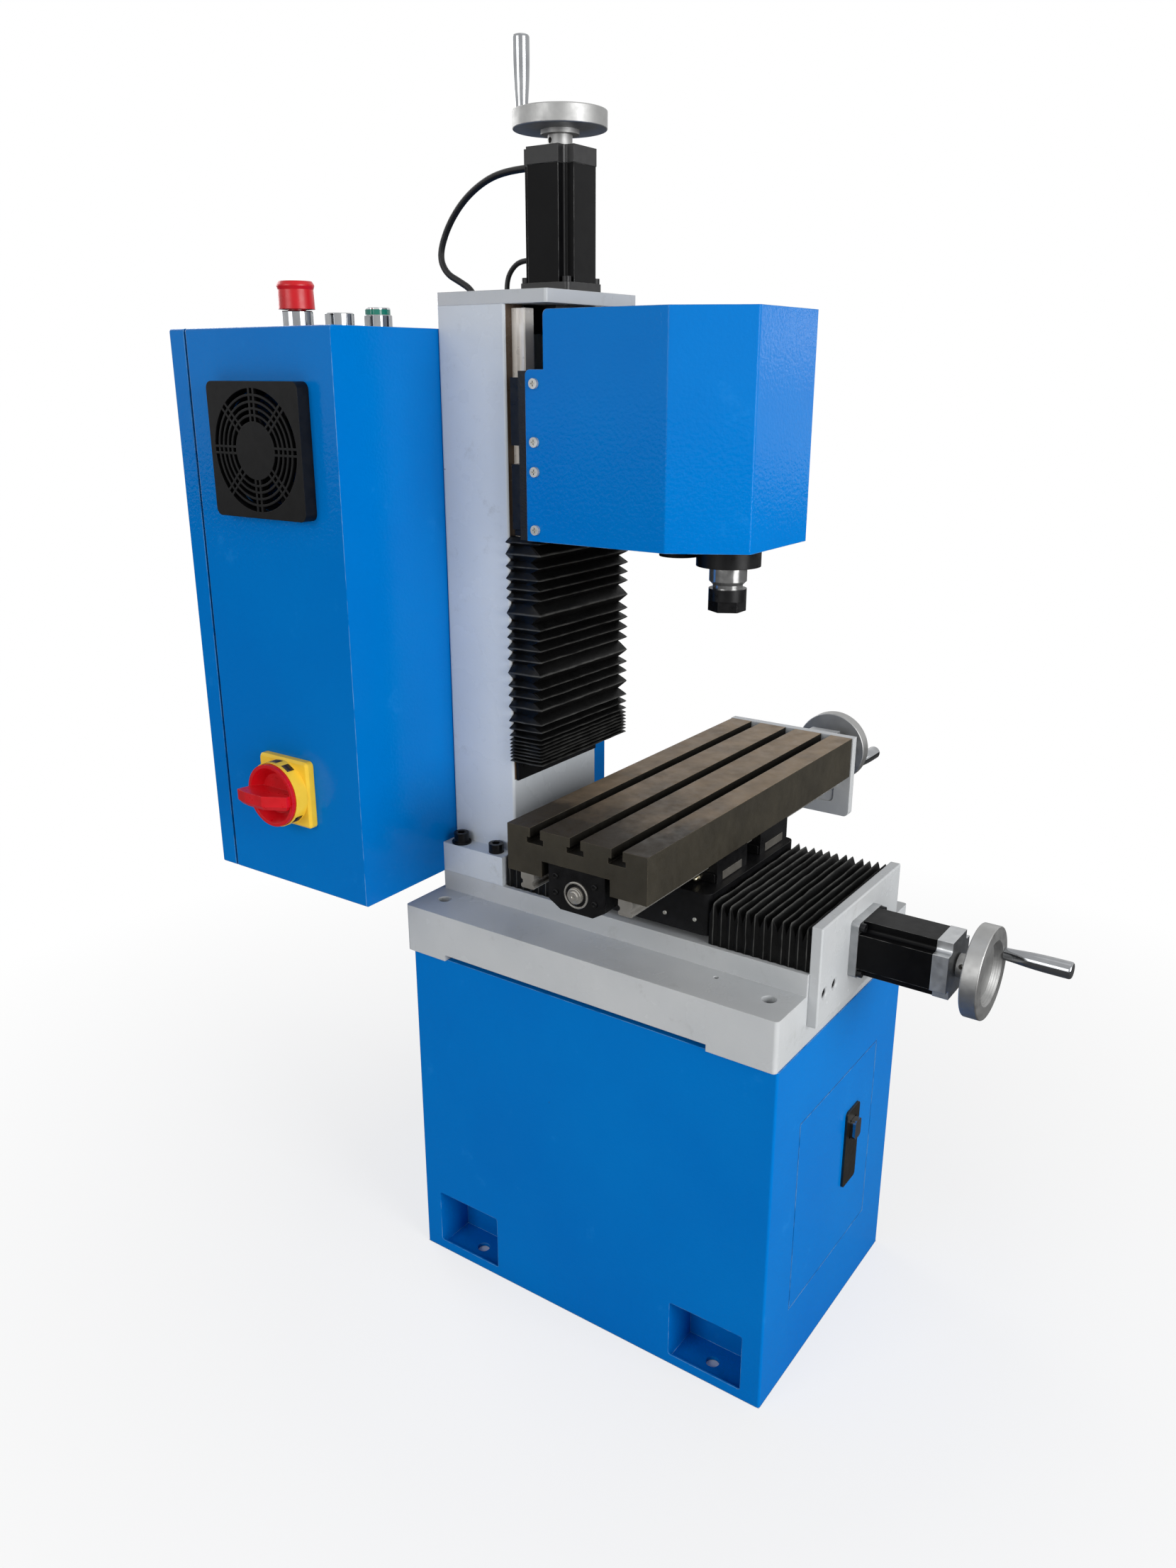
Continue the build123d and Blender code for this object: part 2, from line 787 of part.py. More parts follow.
# Door latch: a face plate with its case behind the door
with BuildPart() as latch_plate:
    with BuildSketch(Plane.XZ.offset(cab_depth / 2)):
        with Locations((latch_x, latch_z)):
            RectangleRounded(latch_width, latch_height, latch_corner)
    extrude(amount=latch_plate_thickness)
    with BuildSketch(Plane.XZ.offset(cab_depth / 2)):
        with Locations((latch_x, latch_z)):
            Rectangle(latch_width - 2 * latch_rim, latch_height - 2 * latch_rim)
    extrude(amount=-latch_body_depth)
    with BuildSketch(Plane.XZ.offset(cab_depth / 2 + latch_plate_thickness)):
        with Locations((latch_x, latch_z + button_rise)):
            Rectangle(button_width + 2 * slip, button_height + 2 * slip)
    extrude(amount=-latch_plate_thickness - latch_body_depth, mode=Mode.SUBTRACT)
save(latch_plate, "latch_plate")

with BuildPart() as latch_button:
    with BuildSketch(Plane.XZ.offset(cab_depth / 2 + latch_plate_thickness + button_stand)):
        with Locations((latch_x, latch_z + button_rise)):
            RectangleRounded(button_width, button_height, latch_corner)
    extrude(amount=-button_stand - latch_plate_thickness - latch_body_depth + button_travel + slip)
save(latch_button, "latch_button")

# Base casting: a thick flange on four pads, two raised walls and the pad under the column
with BuildPart() as base_casting:
    block(-base_half_width, base_half_width, base_front, base_back, base_bottom, base_top)
    fillet(base_casting.edges().filter_by(Axis.Z), base_corner)
    block(-base_half_width - overrun, base_half_width + overrun, front_pad_end, rear_pad_start,
          base_bottom - overrun, base_bottom + base_relief, Mode.SUBTRACT)
    block(-wall_outer, -wall_outer + wall_thickness, base_front, foot_front, base_top, wall_top)
    block(wall_outer - wall_thickness, wall_outer, base_front, foot_front, base_top, wall_top)
    block(-wall_outer, wall_outer, foot_front, column_back, base_top, wall_top)
    tap_depth = foot_screw_length - foot_top + wall_top + overrun
    for side in both_sides:
        for hole_y in (flange_hole_front, flange_hole_rear):
            rod("z", (side * flange_hole_x, hole_y, base_bottom - overrun), flange_hole_radius,
                base_thickness + 2 * overrun, Mode.SUBTRACT)
        rod("z", (side * drain_x, drain_y, base_top - drain_depth), drain_radius, drain_depth + overrun,
            Mode.SUBTRACT)
        for hole_y in (foot_screw_front, foot_screw_rear):
            rod("z", (side * foot_screw_x, hole_y, wall_top - tap_depth), foot_screw_radius + run_fit,
                tap_depth + overrun, Mode.SUBTRACT)
save(base_casting, "base_casting")

# Column casting: an open-fronted box on a bolted foot
with BuildPart() as column:
    block(-column_half, column_half, column_front, column_back, wall_top, column_top)
    fillet(column.edges().filter_by(Axis.Z), column_edge)
    block(-foot_half, foot_half, foot_front, column_back, wall_top, foot_top)
    block(-slot_half, slot_half, column_front - overrun, column_front + slot_lip, column_sill,
          column_top + overrun, Mode.SUBTRACT)
    block(-cavity_half, cavity_half, column_front + slot_lip, column_back - column_rear_wall, column_sill,
          column_top + overrun, Mode.SUBTRACT)
    for side in both_sides:
        for hole_y in (foot_screw_front, foot_screw_rear):
            rod("z", (side * foot_screw_x, hole_y, wall_top - overrun), foot_screw_radius + foot_screw_clearance,
                foot_top - wall_top + 2 * overrun, Mode.SUBTRACT)
save(column, "column")

with BuildPart() as column_top_plate:
    block(-column_half, column_half, top_plate_front, column_back, column_top, top_plate_face)
    fillet(column_top_plate.edges().filter_by(Axis.Z), column_edge)
    motor_plate_holes(z_motor_plane, top_plate_thickness)
save(column_top_plate, "column_top_plate")

# Rails that stay with the base and the column
with BuildPart() as fixed_rails:
    for side in both_sides:
        rail(Plane(origin=(side * y_rail_x, y_rail_start, base_top), x_dir=(-1, 0, 0), z_dir=(0, 1, 0)),
             y_rail_end - y_rail_start)
        rail(Plane(origin=(side * z_rail_x, column_front, z_rail_start), x_dir=(-1, 0, 0), z_dir=(0, 0, 1)),
             z_rail_end - z_rail_start)
save(fixed_rails, "fixed_rails")

# Bearing blocks of the Y and Z screws, and the plate that the Z bellows ends on
with BuildPart() as screw_bearing_blocks:
    for block_y in (y_front_block, y_rear_block):
        block(-bearing_half, bearing_half, block_y, block_y + bearing_length, base_top, base_top + y_block_height)
        rod("y", (0, block_y, y_screw_z), screw_radius + run_fit, bearing_length, Mode.SUBTRACT)
    block(-bearing_half, bearing_half, z_block_top_front, z_block_top_front + z_block_depth,
          column_top - z_block_height, column_top)
    block(-slot_half, slot_half, z_lower_block_front, column_front + slot_lip, z_lower_block,
          z_lower_block + bearing_length)
    rod("z", (0, z_screw_y, z_lower_block), screw_radius + run_fit, column_top - z_lower_block, Mode.SUBTRACT)
    block(-z_bracket_half, z_bracket_half, column_front - z_bracket_thickness, column_front, z_bracket_bottom,
          z_bellows_bottom)
save(screw_bearing_blocks, "screw_bearing_blocks")

# Plate on the front of the base that carries the Y motor
with BuildPart() as y_motor_plate:
    block(-y_plate_half, y_plate_half, y_plate_face, base_front, y_plate_bottom, y_plate_top)
    chamfer(y_motor_plate.faces().sort_by(Axis.Y)[0].edges(), y_plate_edge)
    motor_plate_holes(y_motor_plane, y_plate_thickness)
    for side in both_sides:
        for hole_x in (y_plate_hole_inner, y_plate_hole_outer):
            rod("y", (side * hole_x, y_plate_face - overrun, y_plate_hole_z), y_plate_hole_radius,
                y_plate_thickness / 2 + overrun, Mode.SUBTRACT)
    mouths = y_motor_plate.edges().group_by(Axis.Y)[0].filter_by(GeomType.CIRCLE)
    chamfer(mouths.filter_by(lambda edge: abs(edge.radius - y_plate_hole_radius) < run_fit), y_plate_hole_sink)
save(y_motor_plate, "y_motor_plate")

# Motors of the Y and Z axes
with BuildPart() as fixed_motor_caps:
    motor_caps(y_motor_plane, short_motor_length)
    motor_caps(z_motor_plane, long_motor_length)
save(fixed_motor_caps, "fixed_motor_caps")

with BuildPart() as fixed_motor_bodies:
    motor_body(y_motor_plane, short_motor_length)
    motor_body(z_motor_plane, long_motor_length)
save(fixed_motor_bodies, "fixed_motor_bodies")

# Screws of the motors and of the column's foot, with washers under the rear pair
with BuildPart() as fixed_fasteners:
    motor_bolts(y_motor_plane)
    motor_bolts(z_motor_plane)
    for side in both_sides:
        for hole_y, lift in ((foot_screw_front, 0), (foot_screw_rear, foot_washer_thickness)):
            seat_z = foot_top + lift
            rod("z", (side * foot_screw_x, hole_y, seat_z), foot_head_radius, foot_head_height)
            rod("z", (side * foot_screw_x, hole_y, seat_z - foot_screw_length), foot_screw_radius,
                foot_screw_length)
            with BuildSketch(Plane.XY.offset(seat_z + foot_head_height)):
                with Locations((side * foot_screw_x, hole_y)):
                    RegularPolygon(foot_key_radius, 6)
            extrude(amount=-foot_key_depth, mode=Mode.SUBTRACT)
        with BuildSketch(Plane.XY.offset(foot_top)):
            with Locations((side * foot_screw_x, foot_screw_rear)):
                Circle(foot_washer_radius)
                Circle(foot_screw_radius + foot_screw_clearance, mode=Mode.SUBTRACT)
        extrude(amount=foot_washer_thickness)
save(fixed_fasteners, "fixed_fasteners")

# Bellows: a folded cover in front of the Z screw, and one over the front of the Y screw
with BuildPart() as z_bellows:
    block(-z_bellows_half, z_bellows_half, z_bellows_front, column_front - slip, z_bellows_bottom,
          head_bottom - slip)
    block(-z_bellows_half + z_bellows_wall, z_bellows_half - z_bellows_wall, z_bellows_front + z_bellows_wall,
          column_front, z_bellows_bottom - overrun, head_bottom + overrun, Mode.SUBTRACT)
save(z_bellows, "z_bellows")

with BuildPart() as y_bellows:
    saddle_front = slide_y - saddle_half_depth
    block(-y_bellows_half, y_bellows_half, base_front, saddle_front - slip, wall_top + slip, y_bellows_top)
    block(-y_bellows_half + y_bellows_wall, y_bellows_half - y_bellows_wall, base_front - overrun,
          saddle_front + overrun, wall_top - overrun, y_bellows_top - y_bellows_wall, Mode.SUBTRACT)
save(y_bellows, "y_bellows")

# Saddle that carries the table across the base
with BuildPart() as saddle:
    block(-saddle_half_width, saddle_half_width, slide_y - saddle_half_depth, slide_y + saddle_half_depth,
          saddle_bottom, saddle_top)
    fillet(saddle.edges().filter_by(Axis.Z), saddle_corner)
    block(-saddle_channel_half, saddle_channel_half, slide_y - saddle_half_depth - overrun,
          slide_y + saddle_half_depth + overrun, saddle_bottom - overrun, saddle_bottom + saddle_channel_depth,
          Mode.SUBTRACT)
save(saddle, "saddle")

with BuildPart() as saddle_carriages:
    for side in both_sides:
        for end in both_sides:
            carriage(Plane(origin=(side * y_rail_x, slide_y + end * y_carriage_pitch / 2, base_top),
                           x_dir=(-1, 0, 0), z_dir=(0, 1, 0)))
        for carriage_x in (x_carriage_left, x_carriage_right):
            carriage(Plane(origin=(carriage_x, slide_y + side * x_rail_spread, table_bottom),
                           x_dir=(0, -1, 0), z_dir=(1, 0, 0)))
save(saddle_carriages, "saddle_carriages")

with BuildPart() as saddle_ballnuts:
    block(-nut_half, nut_half, slide_y - nut_length / 2, slide_y + nut_length / 2, y_screw_z - nut_reach,
          saddle_bottom + saddle_channel_depth)
    rod("y", (0, slide_y - nut_length / 2, y_screw_z), screw_radius + run_fit, nut_length, Mode.SUBTRACT)
    block(x_nut_x - nut_length / 2, x_nut_x + nut_length / 2, slide_y - nut_half, slide_y + nut_half, saddle_top,
          x_screw_z + nut_reach)
    rod("x", (x_nut_x - nut_length / 2, slide_y, x_screw_z), screw_radius + run_fit, nut_length, Mode.SUBTRACT)
save(saddle_ballnuts, "saddle_ballnuts")

# Table with three T-slots and a recess for its screw
with BuildPart() as table:
    with BuildSketch(Plane.YZ.offset(table_left)):
        with Locations((slide_y, (table_bottom + table_top) / 2)):
            Rectangle(table_width, table_thickness)
        with Locations((slide_y, table_bottom + recess_depth / 2)):
            Rectangle(recess_width, recess_depth, mode=Mode.SUBTRACT)
        for row in (-1, 0, 1):
            slot_y = slide_y + row * slot_pitch
            with Locations((slot_y, table_top - slot_neck / 2)):
                Rectangle(slot_opening, slot_neck, mode=Mode.SUBTRACT)
            with Locations((slot_y, table_top - slot_neck - slot_head_height / 2)):
                Rectangle(slot_head_width, slot_head_height, mode=Mode.SUBTRACT)
    extrude(amount=table_length)
save(table, "table")

with BuildPart() as x_rails:
    for side in both_sides:
        rail(Plane(origin=(table_left, slide_y + side * x_rail_spread, table_bottom), x_dir=(0, -1, 0),
                   z_dir=(1, 0, 0)), table_length)
save(x_rails, "x_rails")

with BuildPart() as x_bearing_blocks:
    block_top = table_bottom + recess_depth
    block_bottom = saddle_top + 2 * slip
    for block_x in (table_left + x_block_inset, table_right - x_block_right_inset):
        with BuildSketch(Plane.YZ.offset(block_x)):
            Polygon(
                (slide_y - bearing_half, block_top), (slide_y - bearing_half, block_bottom + x_block_foot),
                (slide_y - bearing_half + x_block_chamfer, block_bottom),
                (slide_y + bearing_half - x_block_chamfer, block_bottom),
                (slide_y + bearing_half, block_bottom + x_block_foot), (slide_y + bearing_half, block_top),
                align=None,
            )
            with Locations((slide_y, x_screw_z)):
                Circle(screw_radius + run_fit, mode=Mode.SUBTRACT)
        extrude(amount=bearing_length)
save(x_bearing_blocks, "x_bearing_blocks")

# Plate on the table's right end that carries the X motor
with BuildPart() as x_end_plate:
    plate_bottom = table_bottom - end_plate_drop
    with BuildSketch(Plane.YZ.offset(table_right)) as plate_outline:
        with Locations((slide_y, (plate_bottom + table_top) / 2)):
            Rectangle(end_plate_width, table_top - plate_bottom)
        fillet(plate_outline.vertices().group_by(Axis.Y)[0], end_plate_corner)
    extrude(amount=end_plate_thickness)
    with BuildSketch(Plane.YZ.offset(table_right)):
        with Locations((slide_y, end_plate_panel_z)):
            RectangleRounded(end_plate_panel_width, end_plate_panel_height, end_plate_corner)
    extrude(amount=end_plate_recess, mode=Mode.SUBTRACT)
    motor_plate_holes(x_motor_plane, end_plate_thickness)
save(x_end_plate, "x_end_plate")

with BuildPart() as x_motor_caps:
    motor_caps(x_motor_plane, short_motor_length)
    motor_bolts(x_motor_plane)
save(x_motor_caps, "x_motor_caps")

with BuildPart() as x_motor_body:
    motor_body(x_motor_plane, short_motor_length)
save(x_motor_body, "x_motor_body")

# Head casting: the slide on the column's rails, a deck for the spindle and two ribs
with BuildPart() as head_casting:
    block(-slide_half, slide_half, slide_front, slide_back, head_bottom, slide_top)
    block(-deck_half, deck_half, deck_front, slide_front, deck_bottom, deck_top)
    for rib_x in (-deck_half, deck_half - rib_thickness):
        block(rib_x, rib_x + rib_thickness, rib_front, slide_front, deck_top, deck_top + rib_height)
    rod("z", (0, spindle_y, deck_bottom), housing_radius + run_fit, deck_thickness, Mode.SUBTRACT)
    rod("z", (0, drive_motor_y, deck_bottom), drive_motor_radius + slip, deck_thickness, Mode.SUBTRACT)
    for screw_z in cover_screw_heights:
        rod("x", (-slide_half, cover_screw_y, screw_z), cover_screw_radius + run_fit, cover_screw_depth,
            Mode.SUBTRACT)
        rod("x", (slide_half - cover_screw_depth, cover_screw_y, screw_z), cover_screw_radius + run_fit,
            cover_screw_depth, Mode.SUBTRACT)
save(head_casting, "head_casting")

with BuildPart() as z_slide_blocks:
    for side in both_sides:
        for carriage_z in (z_carriage_lower, z_carriage_upper):
            carriage(Plane(origin=(side * z_rail_x, column_front, carriage_z), x_dir=(-1, 0, 0),
                           z_dir=(0, 0, 1)))
    block(-nut_half, nut_half, slide_back, z_nut_back, z_nut_bottom, z_nut_bottom + nut_length)
    rod("z", (0, z_screw_y, z_nut_bottom), screw_radius + run_fit, nut_length, Mode.SUBTRACT)
save(z_slide_blocks, "z_slide_blocks")

# Folded sheet cover over the head, cut away at its top rear for the column's top plate
with BuildPart() as head_cover:
    cover_half = slide_half + cover_sheet
    with BuildSketch(Plane.XY.offset(head_bottom)) as cover_outline:
        Polygon(
            (-cover_half, cover_back), (-cover_half, cover_bend_y), (-cover_front_half, cover_front_y),
            (cover_front_half, cover_front_y), (cover_half, cover_bend_y), (cover_half, cover_back),
            align=None,
        )
        fillet(cover_outline.vertices().sort_by(Axis.Y)[:4], cover_bend_radius)
    extrude(amount=cover_top - head_bottom)
    with BuildSketch(Plane.XY.offset(head_bottom)) as cover_inside:
        Polygon(
            (-cover_half, cover_back), (-cover_half, cover_bend_y), (-cover_front_half, cover_front_y),
            (cover_front_half, cover_front_y), (cover_half, cover_bend_y), (cover_half, cover_back),
            align=None,
        )
        fillet(cover_inside.vertices().sort_by(Axis.Y)[:4], cover_bend_radius)
        offset(amount=-cover_sheet, mode=Mode.REPLACE)
    extrude(amount=cover_top - head_bottom - cover_sheet, mode=Mode.SUBTRACT)
    block(-slide_half, slide_half, slide_front, cover_back + overrun, head_bottom, cover_top - cover_sheet,
          Mode.SUBTRACT)
    with BuildSketch(Plane.YZ) as cover_side:
        Polygon(
            (cover_front_y - overrun, head_bottom), (cover_back, head_bottom), (cover_back, cover_notch_z),
            (cover_notch_back, cover_notch_z), (cover_notch_back, cover_top), (cover_front_y - overrun, cover_top),
            align=None,
        )
        fillet(cover_side.vertices().group_by(Axis.X)[-1].sort_by(Axis.Y)[-1], cover_corner)
        fillet(cover_side.vertices().group_by(Axis.Y)[-1].sort_by(Axis.X)[-1], cover_corner)
    extrude(amount=cover_half + overrun, both=True, mode=Mode.INTERSECT)
    for screw_z in cover_screw_heights:
        rod("x", (-cover_half - overrun, cover_screw_y, screw_z), cover_screw_radius + slip,
            2 * cover_half + 2 * overrun, Mode.SUBTRACT)
save(head_cover, "head_cover")

with BuildPart() as cover_screws:
    for side in both_sides:
        for screw_z in cover_screw_heights:
            seat = Plane(origin=(side * cover_half, cover_screw_y, screw_z), x_dir=(0, 1, 0), z_dir=(side, 0, 0))
            disc(seat, cover_head_radius, cover_head_height)
            disc(seat, cover_screw_radius, -cover_screw_depth)
            with BuildSketch(seat.offset(cover_head_height)):
                Rectangle(cover_slot_length, cover_slot_width)
                Rectangle(cover_slot_width, cover_slot_length)
            extrude(amount=-cover_slot_depth, mode=Mode.SUBTRACT)
save(cover_screws, "cover_screws")

# Spindle in its housing, with the collet nut below and the belt pulley above
with BuildPart() as spindle_housing:
    rod("z", (0, spindle_y, spindle_flange_bottom), spindle_flange_radius, deck_bottom - spindle_flange_bottom)
    rod("z", (0, spindle_y, deck_bottom), housing_radius, housing_top - deck_bottom)
    rod("z", (0, spindle_y, spindle_flange_bottom), spindle_shaft_radius + run_fit,
        housing_top - spindle_flange_bottom, Mode.SUBTRACT)
save(spindle_housing, "spindle_housing")

with BuildPart() as spindle:
    nose_top = spindle_flange_bottom - slip
    rod("z", (0, spindle_y, spindle_nose_bottom), spindle_nose_radius, nose_top - spindle_nose_bottom)
    chamfer(spindle.edges().sort_by(Axis.Z)[0], spindle_nose_bevel)
    rod("z", (0, spindle_y, nose_top), spindle_shaft_radius, pulley_bottom + pulley_height - nose_top)
    rod("z", (0, spindle_y, pulley_bottom), spindle_pulley_radius, pulley_height)
    rod("z", (0, spindle_y, spindle_thread_bottom), spindle_thread_radius,
        spindle_nose_bottom - spindle_thread_bottom)
    rod("z", (0, spindle_y, spindle_thread_bottom), collet_radius + run_fit, collet_length, Mode.SUBTRACT)
save(spindle, "spindle")

with BuildPart() as collet_nut:
    with BuildSketch(Plane.XY.offset(nut_bottom)):
        with Locations((0, spindle_y)):
            RegularPolygon(nut_hex_flat / 2, 6, major_radius=False)
            Circle(nut_radius, mode=Mode.INTERSECT)
    extrude(amount=nut_hex_height)
    rod("z", (0, spindle_y, nut_bottom + nut_hex_height), nut_radius, nut_top - nut_bottom - nut_hex_height)
    rod("z", (0, spindle_y, nut_bottom), nut_lip_radius, nut_lip, Mode.SUBTRACT)
    rod("z", (0, spindle_y, nut_bottom + nut_lip), spindle_thread_radius + run_fit, nut_top - nut_bottom,
        Mode.SUBTRACT)
save(collet_nut, "collet_nut")

with BuildPart() as collet:
    rod("z", (0, spindle_y, collet_face), collet_nose_radius, spindle_thread_bottom - collet_face)
    rod("z", (0, spindle_y, spindle_thread_bottom), collet_radius, collet_length - overrun)
    rod("z", (0, spindle_y, collet_face), collet_bore_radius, collet_length + overrun, Mode.SUBTRACT)
save(collet, "collet")

with BuildPart() as spindle_motor:
    rod("z", (0, drive_motor_y, drive_motor_bottom), drive_motor_radius, drive_motor_top - drive_motor_bottom)
    rod("z", (0, drive_motor_y, deck_top), drive_collar_radius, drive_collar_height)
    rod("z", (0, drive_motor_y, deck_top), drive_shaft_radius + run_fit, drive_motor_top - deck_top,
        Mode.SUBTRACT)
save(spindle_motor, "spindle_motor")

with BuildPart() as motor_pulley:
    rod("z", (0, drive_motor_y, deck_top + slip), drive_shaft_radius, pulley_bottom - deck_top)
    rod("z", (0, drive_motor_y, pulley_bottom), motor_pulley_radius, pulley_height)
save(motor_pulley, "motor_pulley")

with BuildPart() as belt:
    belt_bottom = pulley_bottom + (pulley_height - belt_width) / 2
    for growth, mode in ((belt_thickness + slip, Mode.ADD), (slip, Mode.SUBTRACT)):
        with BuildSketch(Plane.XY.offset(belt_bottom)):
            with Locations((0, spindle_y)):
                Circle(spindle_pulley_radius + growth)
            with Locations((0, drive_motor_y)):
                Circle(motor_pulley_radius + growth)
            make_hull()
        extrude(amount=belt_width, mode=mode)
save(belt, "belt")

# Electrical box with an open back, and its rear door on two pinned hinges
hinge_x = box_half + box_hinge_side
hinge_y = box_back + box_door_gap / 2
with BuildPart() as box_shell:
    block(-box_half, box_half, box_front, box_back, box_bottom, box_top)
    fillet(box_shell.edges().filter_by(Axis.Y), box_corner)
    block(-box_wall, box_wall, box_inner_front, box_back + overrun, box_bottom + box_sheet, box_top - box_sheet,
          Mode.SUBTRACT)
    rod("x", (-box_half - overrun, fan_y, fan_z), fan_opening_radius, box_sheet + 2 * overrun, Mode.SUBTRACT)
    rod("x", (-box_half - overrun, switch_y, switch_z), switch_shaft_radius + slip, box_sheet + 2 * overrun,
        Mode.SUBTRACT)
    for place in range(3):
        rod("z", (panel_button_first + place * panel_button_pitch, panel_button_y, box_top - box_sheet - overrun),
            bezel_barrel + run_fit, box_sheet + 2 * overrun, Mode.SUBTRACT)
    for hinge_z in box_hinge_heights:
        block(box_half, box_half + box_hinge_leaf, box_back - box_hinge_reach, hinge_y, hinge_z - box_hinge_length,
              hinge_z)
        rod("z", (hinge_x, hinge_y, hinge_z - box_hinge_length), box_hinge_radius, box_hinge_length)
        rod("z", (hinge_x, hinge_y, hinge_z - box_hinge_length), box_hinge_pin_radius, 2 * box_hinge_length)
save(box_shell, "box_shell")

with BuildPart() as box_door:
    door_inner = box_back + box_door_gap
    door_outer = door_inner + box_door_depth
    block(-box_half, box_half, door_inner, door_outer, box_bottom, box_top)
    fillet(box_door.edges().filter_by(Axis.Y), box_corner)
    block(-box_wall, box_wall, door_inner - overrun, door_outer - box_sheet, box_bottom + box_sheet,
          box_top - box_sheet, Mode.SUBTRACT)
    for hinge_z in box_hinge_heights:
        block(box_half, box_half + box_hinge_leaf, hinge_y, door_inner + box_hinge_reach, hinge_z + slip,
              hinge_z + box_hinge_length)
        rod("z", (hinge_x, hinge_y, hinge_z + slip), box_hinge_radius, box_hinge_length - slip)
        rod("z", (hinge_x, hinge_y, hinge_z), box_hinge_pin_radius + run_fit, box_hinge_length, Mode.SUBTRACT)
save(box_door, "box_door")

# Mounting plate and the units on it
with BuildPart() as box_mounting_plate:
    block(-panel_half, panel_half, box_inner_front + panel_standoff, panel_face, panel_bottom, panel_top)
    for side in both_sides:
        for post_z in (panel_bottom + standoff_inset, panel_top - standoff_inset):
            rod("y", (side * (panel_half - standoff_inset), box_inner_front, post_z), standoff_radius,
                panel_standoff)
save(box_mounting_plate, "box_mounting_plate")

with BuildPart() as control_units:
    with Locations((supply_x, panel_face + supply_depth / 2, supply_z)):
        Box(supply_width, supply_depth, supply_height)
    for place in range(3):
        with Locations((driver_start + place * driver_pitch, panel_face + driver_depth / 2, driver_z)):
            Box(driver_width, driver_depth, driver_height)
    with Locations((controller_x, panel_face + controller_depth / 2, controller_z)):
        Box(controller_width, controller_depth, controller_height)
    with Locations((-box_wall + switch_body_depth / 2, switch_y, switch_z)):
        Box(switch_body_depth, switch_body_size, switch_body_size)
    rod("x", (-box_wall, switch_y, switch_z), switch_shaft_radius + run_fit, switch_body_depth / 2, Mode.SUBTRACT)
save(control_units, "control_units")

# Fan: guard outside the wall, frame inside it and the rotor on the frame's pin
with BuildPart() as fan_guard:
    with BuildSketch(Plane.YZ.offset(-box_half)):
        with Locations((fan_y, fan_z)):
            RectangleRounded(fan_guard_size, fan_guard_size, fan_guard_corner)
            Circle(fan_opening_radius, mode=Mode.SUBTRACT)
    extrude(amount=-fan_guard_depth)
    guard_face = Plane(origin=(-box_half - fan_guard_depth, fan_y, fan_z), x_dir=(0, 1, 0), z_dir=(1, 0, 0))
    for ring_radius in fan_rings:
        with BuildSketch(guard_face):
            Circle(ring_radius + fan_bar / 2)
            Circle(ring_radius - fan_bar / 2, mode=Mode.SUBTRACT)
        extrude(amount=fan_bar_depth)
    disc(guard_face, fan_disc_radius, fan_bar_depth)
    with BuildSketch(guard_face):
        with PolarLocations(0, fan_spoke_count):
            with Locations(((fan_disc_radius + fan_opening_radius) / 2, fan_spoke_gap / 2),
                           ((fan_disc_radius + fan_opening_radius) / 2, -fan_spoke_gap / 2)):
                Rectangle(fan_opening_radius - fan_disc_radius + 2 * fan_bar, fan_bar)
    extrude(amount=fan_bar_depth)
save(fan_guard, "fan_guard")

with BuildPart() as fan_frame:
    frame_end = -box_wall + fan_frame_depth
    hub_face = frame_end - fan_frame_back
    with BuildSketch(Plane.YZ.offset(-box_wall)):
        with Locations((fan_y, fan_z)):
            RectangleRounded(fan_frame_size, fan_frame_size, fan_guard_corner)
            Circle(fan_opening_radius, mode=Mode.SUBTRACT)
    extrude(amount=fan_frame_depth)
    with BuildSketch(Plane.YZ.offset(hub_face)):
        with Locations((fan_y, fan_z)):
            Circle(fan_hub_radius)
            Rectangle(fan_frame_size - fan_strut_width, fan_strut_width)
            Rectangle(fan_strut_width, fan_frame_size - fan_strut_width)
    extrude(amount=fan_frame_back)
    pin_end = -box_wall + fan_rotor_inset
    rod("x", (pin_end, fan_y, fan_z), fan_pin_radius, hub_face - pin_end)
save(fan_frame, "fan_frame")

with BuildPart() as fan_rotor:
    rotor_start = -box_wall + fan_rotor_inset
    rod("x", (rotor_start, fan_y, fan_z), fan_hub_radius, fan_rotor_depth)
    blade_length = fan_blade_radius - fan_hub_radius + fan_blade_thickness
    blade_middle = fan_blade_radius - blade_length / 2
    rotor_middle = Location((rotor_start + fan_rotor_depth / 2, fan_y, fan_z))
    for blade in range(fan_blade_count):
        spin = Location((0, 0, 0), (360 * blade / fan_blade_count, 0, 0))
        with Locations(rotor_middle * spin * Location((0, blade_middle, 0), (0, fan_blade_pitch, 0))):
            Box(fan_rotor_depth, blade_length, fan_blade_thickness)
    rod("x", (rotor_start - overrun, fan_y, fan_z), fan_pin_radius + run_fit, fan_rotor_depth + 2 * overrun,
        Mode.SUBTRACT)
save(fan_rotor, "fan_rotor")

# Main switch: a plate with a collar, and the knob that turns in it
with BuildPart() as switch_plate:
    with BuildSketch(Plane.YZ.offset(-box_half)):
        with Locations((switch_y, switch_z)):
            RectangleRounded(switch_size, switch_size, switch_corner)
    extrude(amount=-switch_plate_thickness)
    chamfer(switch_plate.faces().sort_by(Axis.X)[0].edges(), switch_edge)
    collar_face = box_half + switch_plate_thickness
    with BuildSketch(Plane.YZ.offset(-collar_face)):
        with Locations((switch_y, switch_z)):
            Circle(switch_collar_radius)
    extrude(amount=-switch_collar_height)
    rod("x", (-collar_face - switch_collar_height, switch_y, switch_z), switch_shaft_radius + run_fit,
        switch_collar_height + switch_plate_thickness, Mode.SUBTRACT)
    rod("x", (-collar_face - switch_collar_height, switch_y, switch_z), switch_knob_radius + slip,
        switch_knob_sink, Mode.SUBTRACT)
save(switch_plate, "switch_plate")

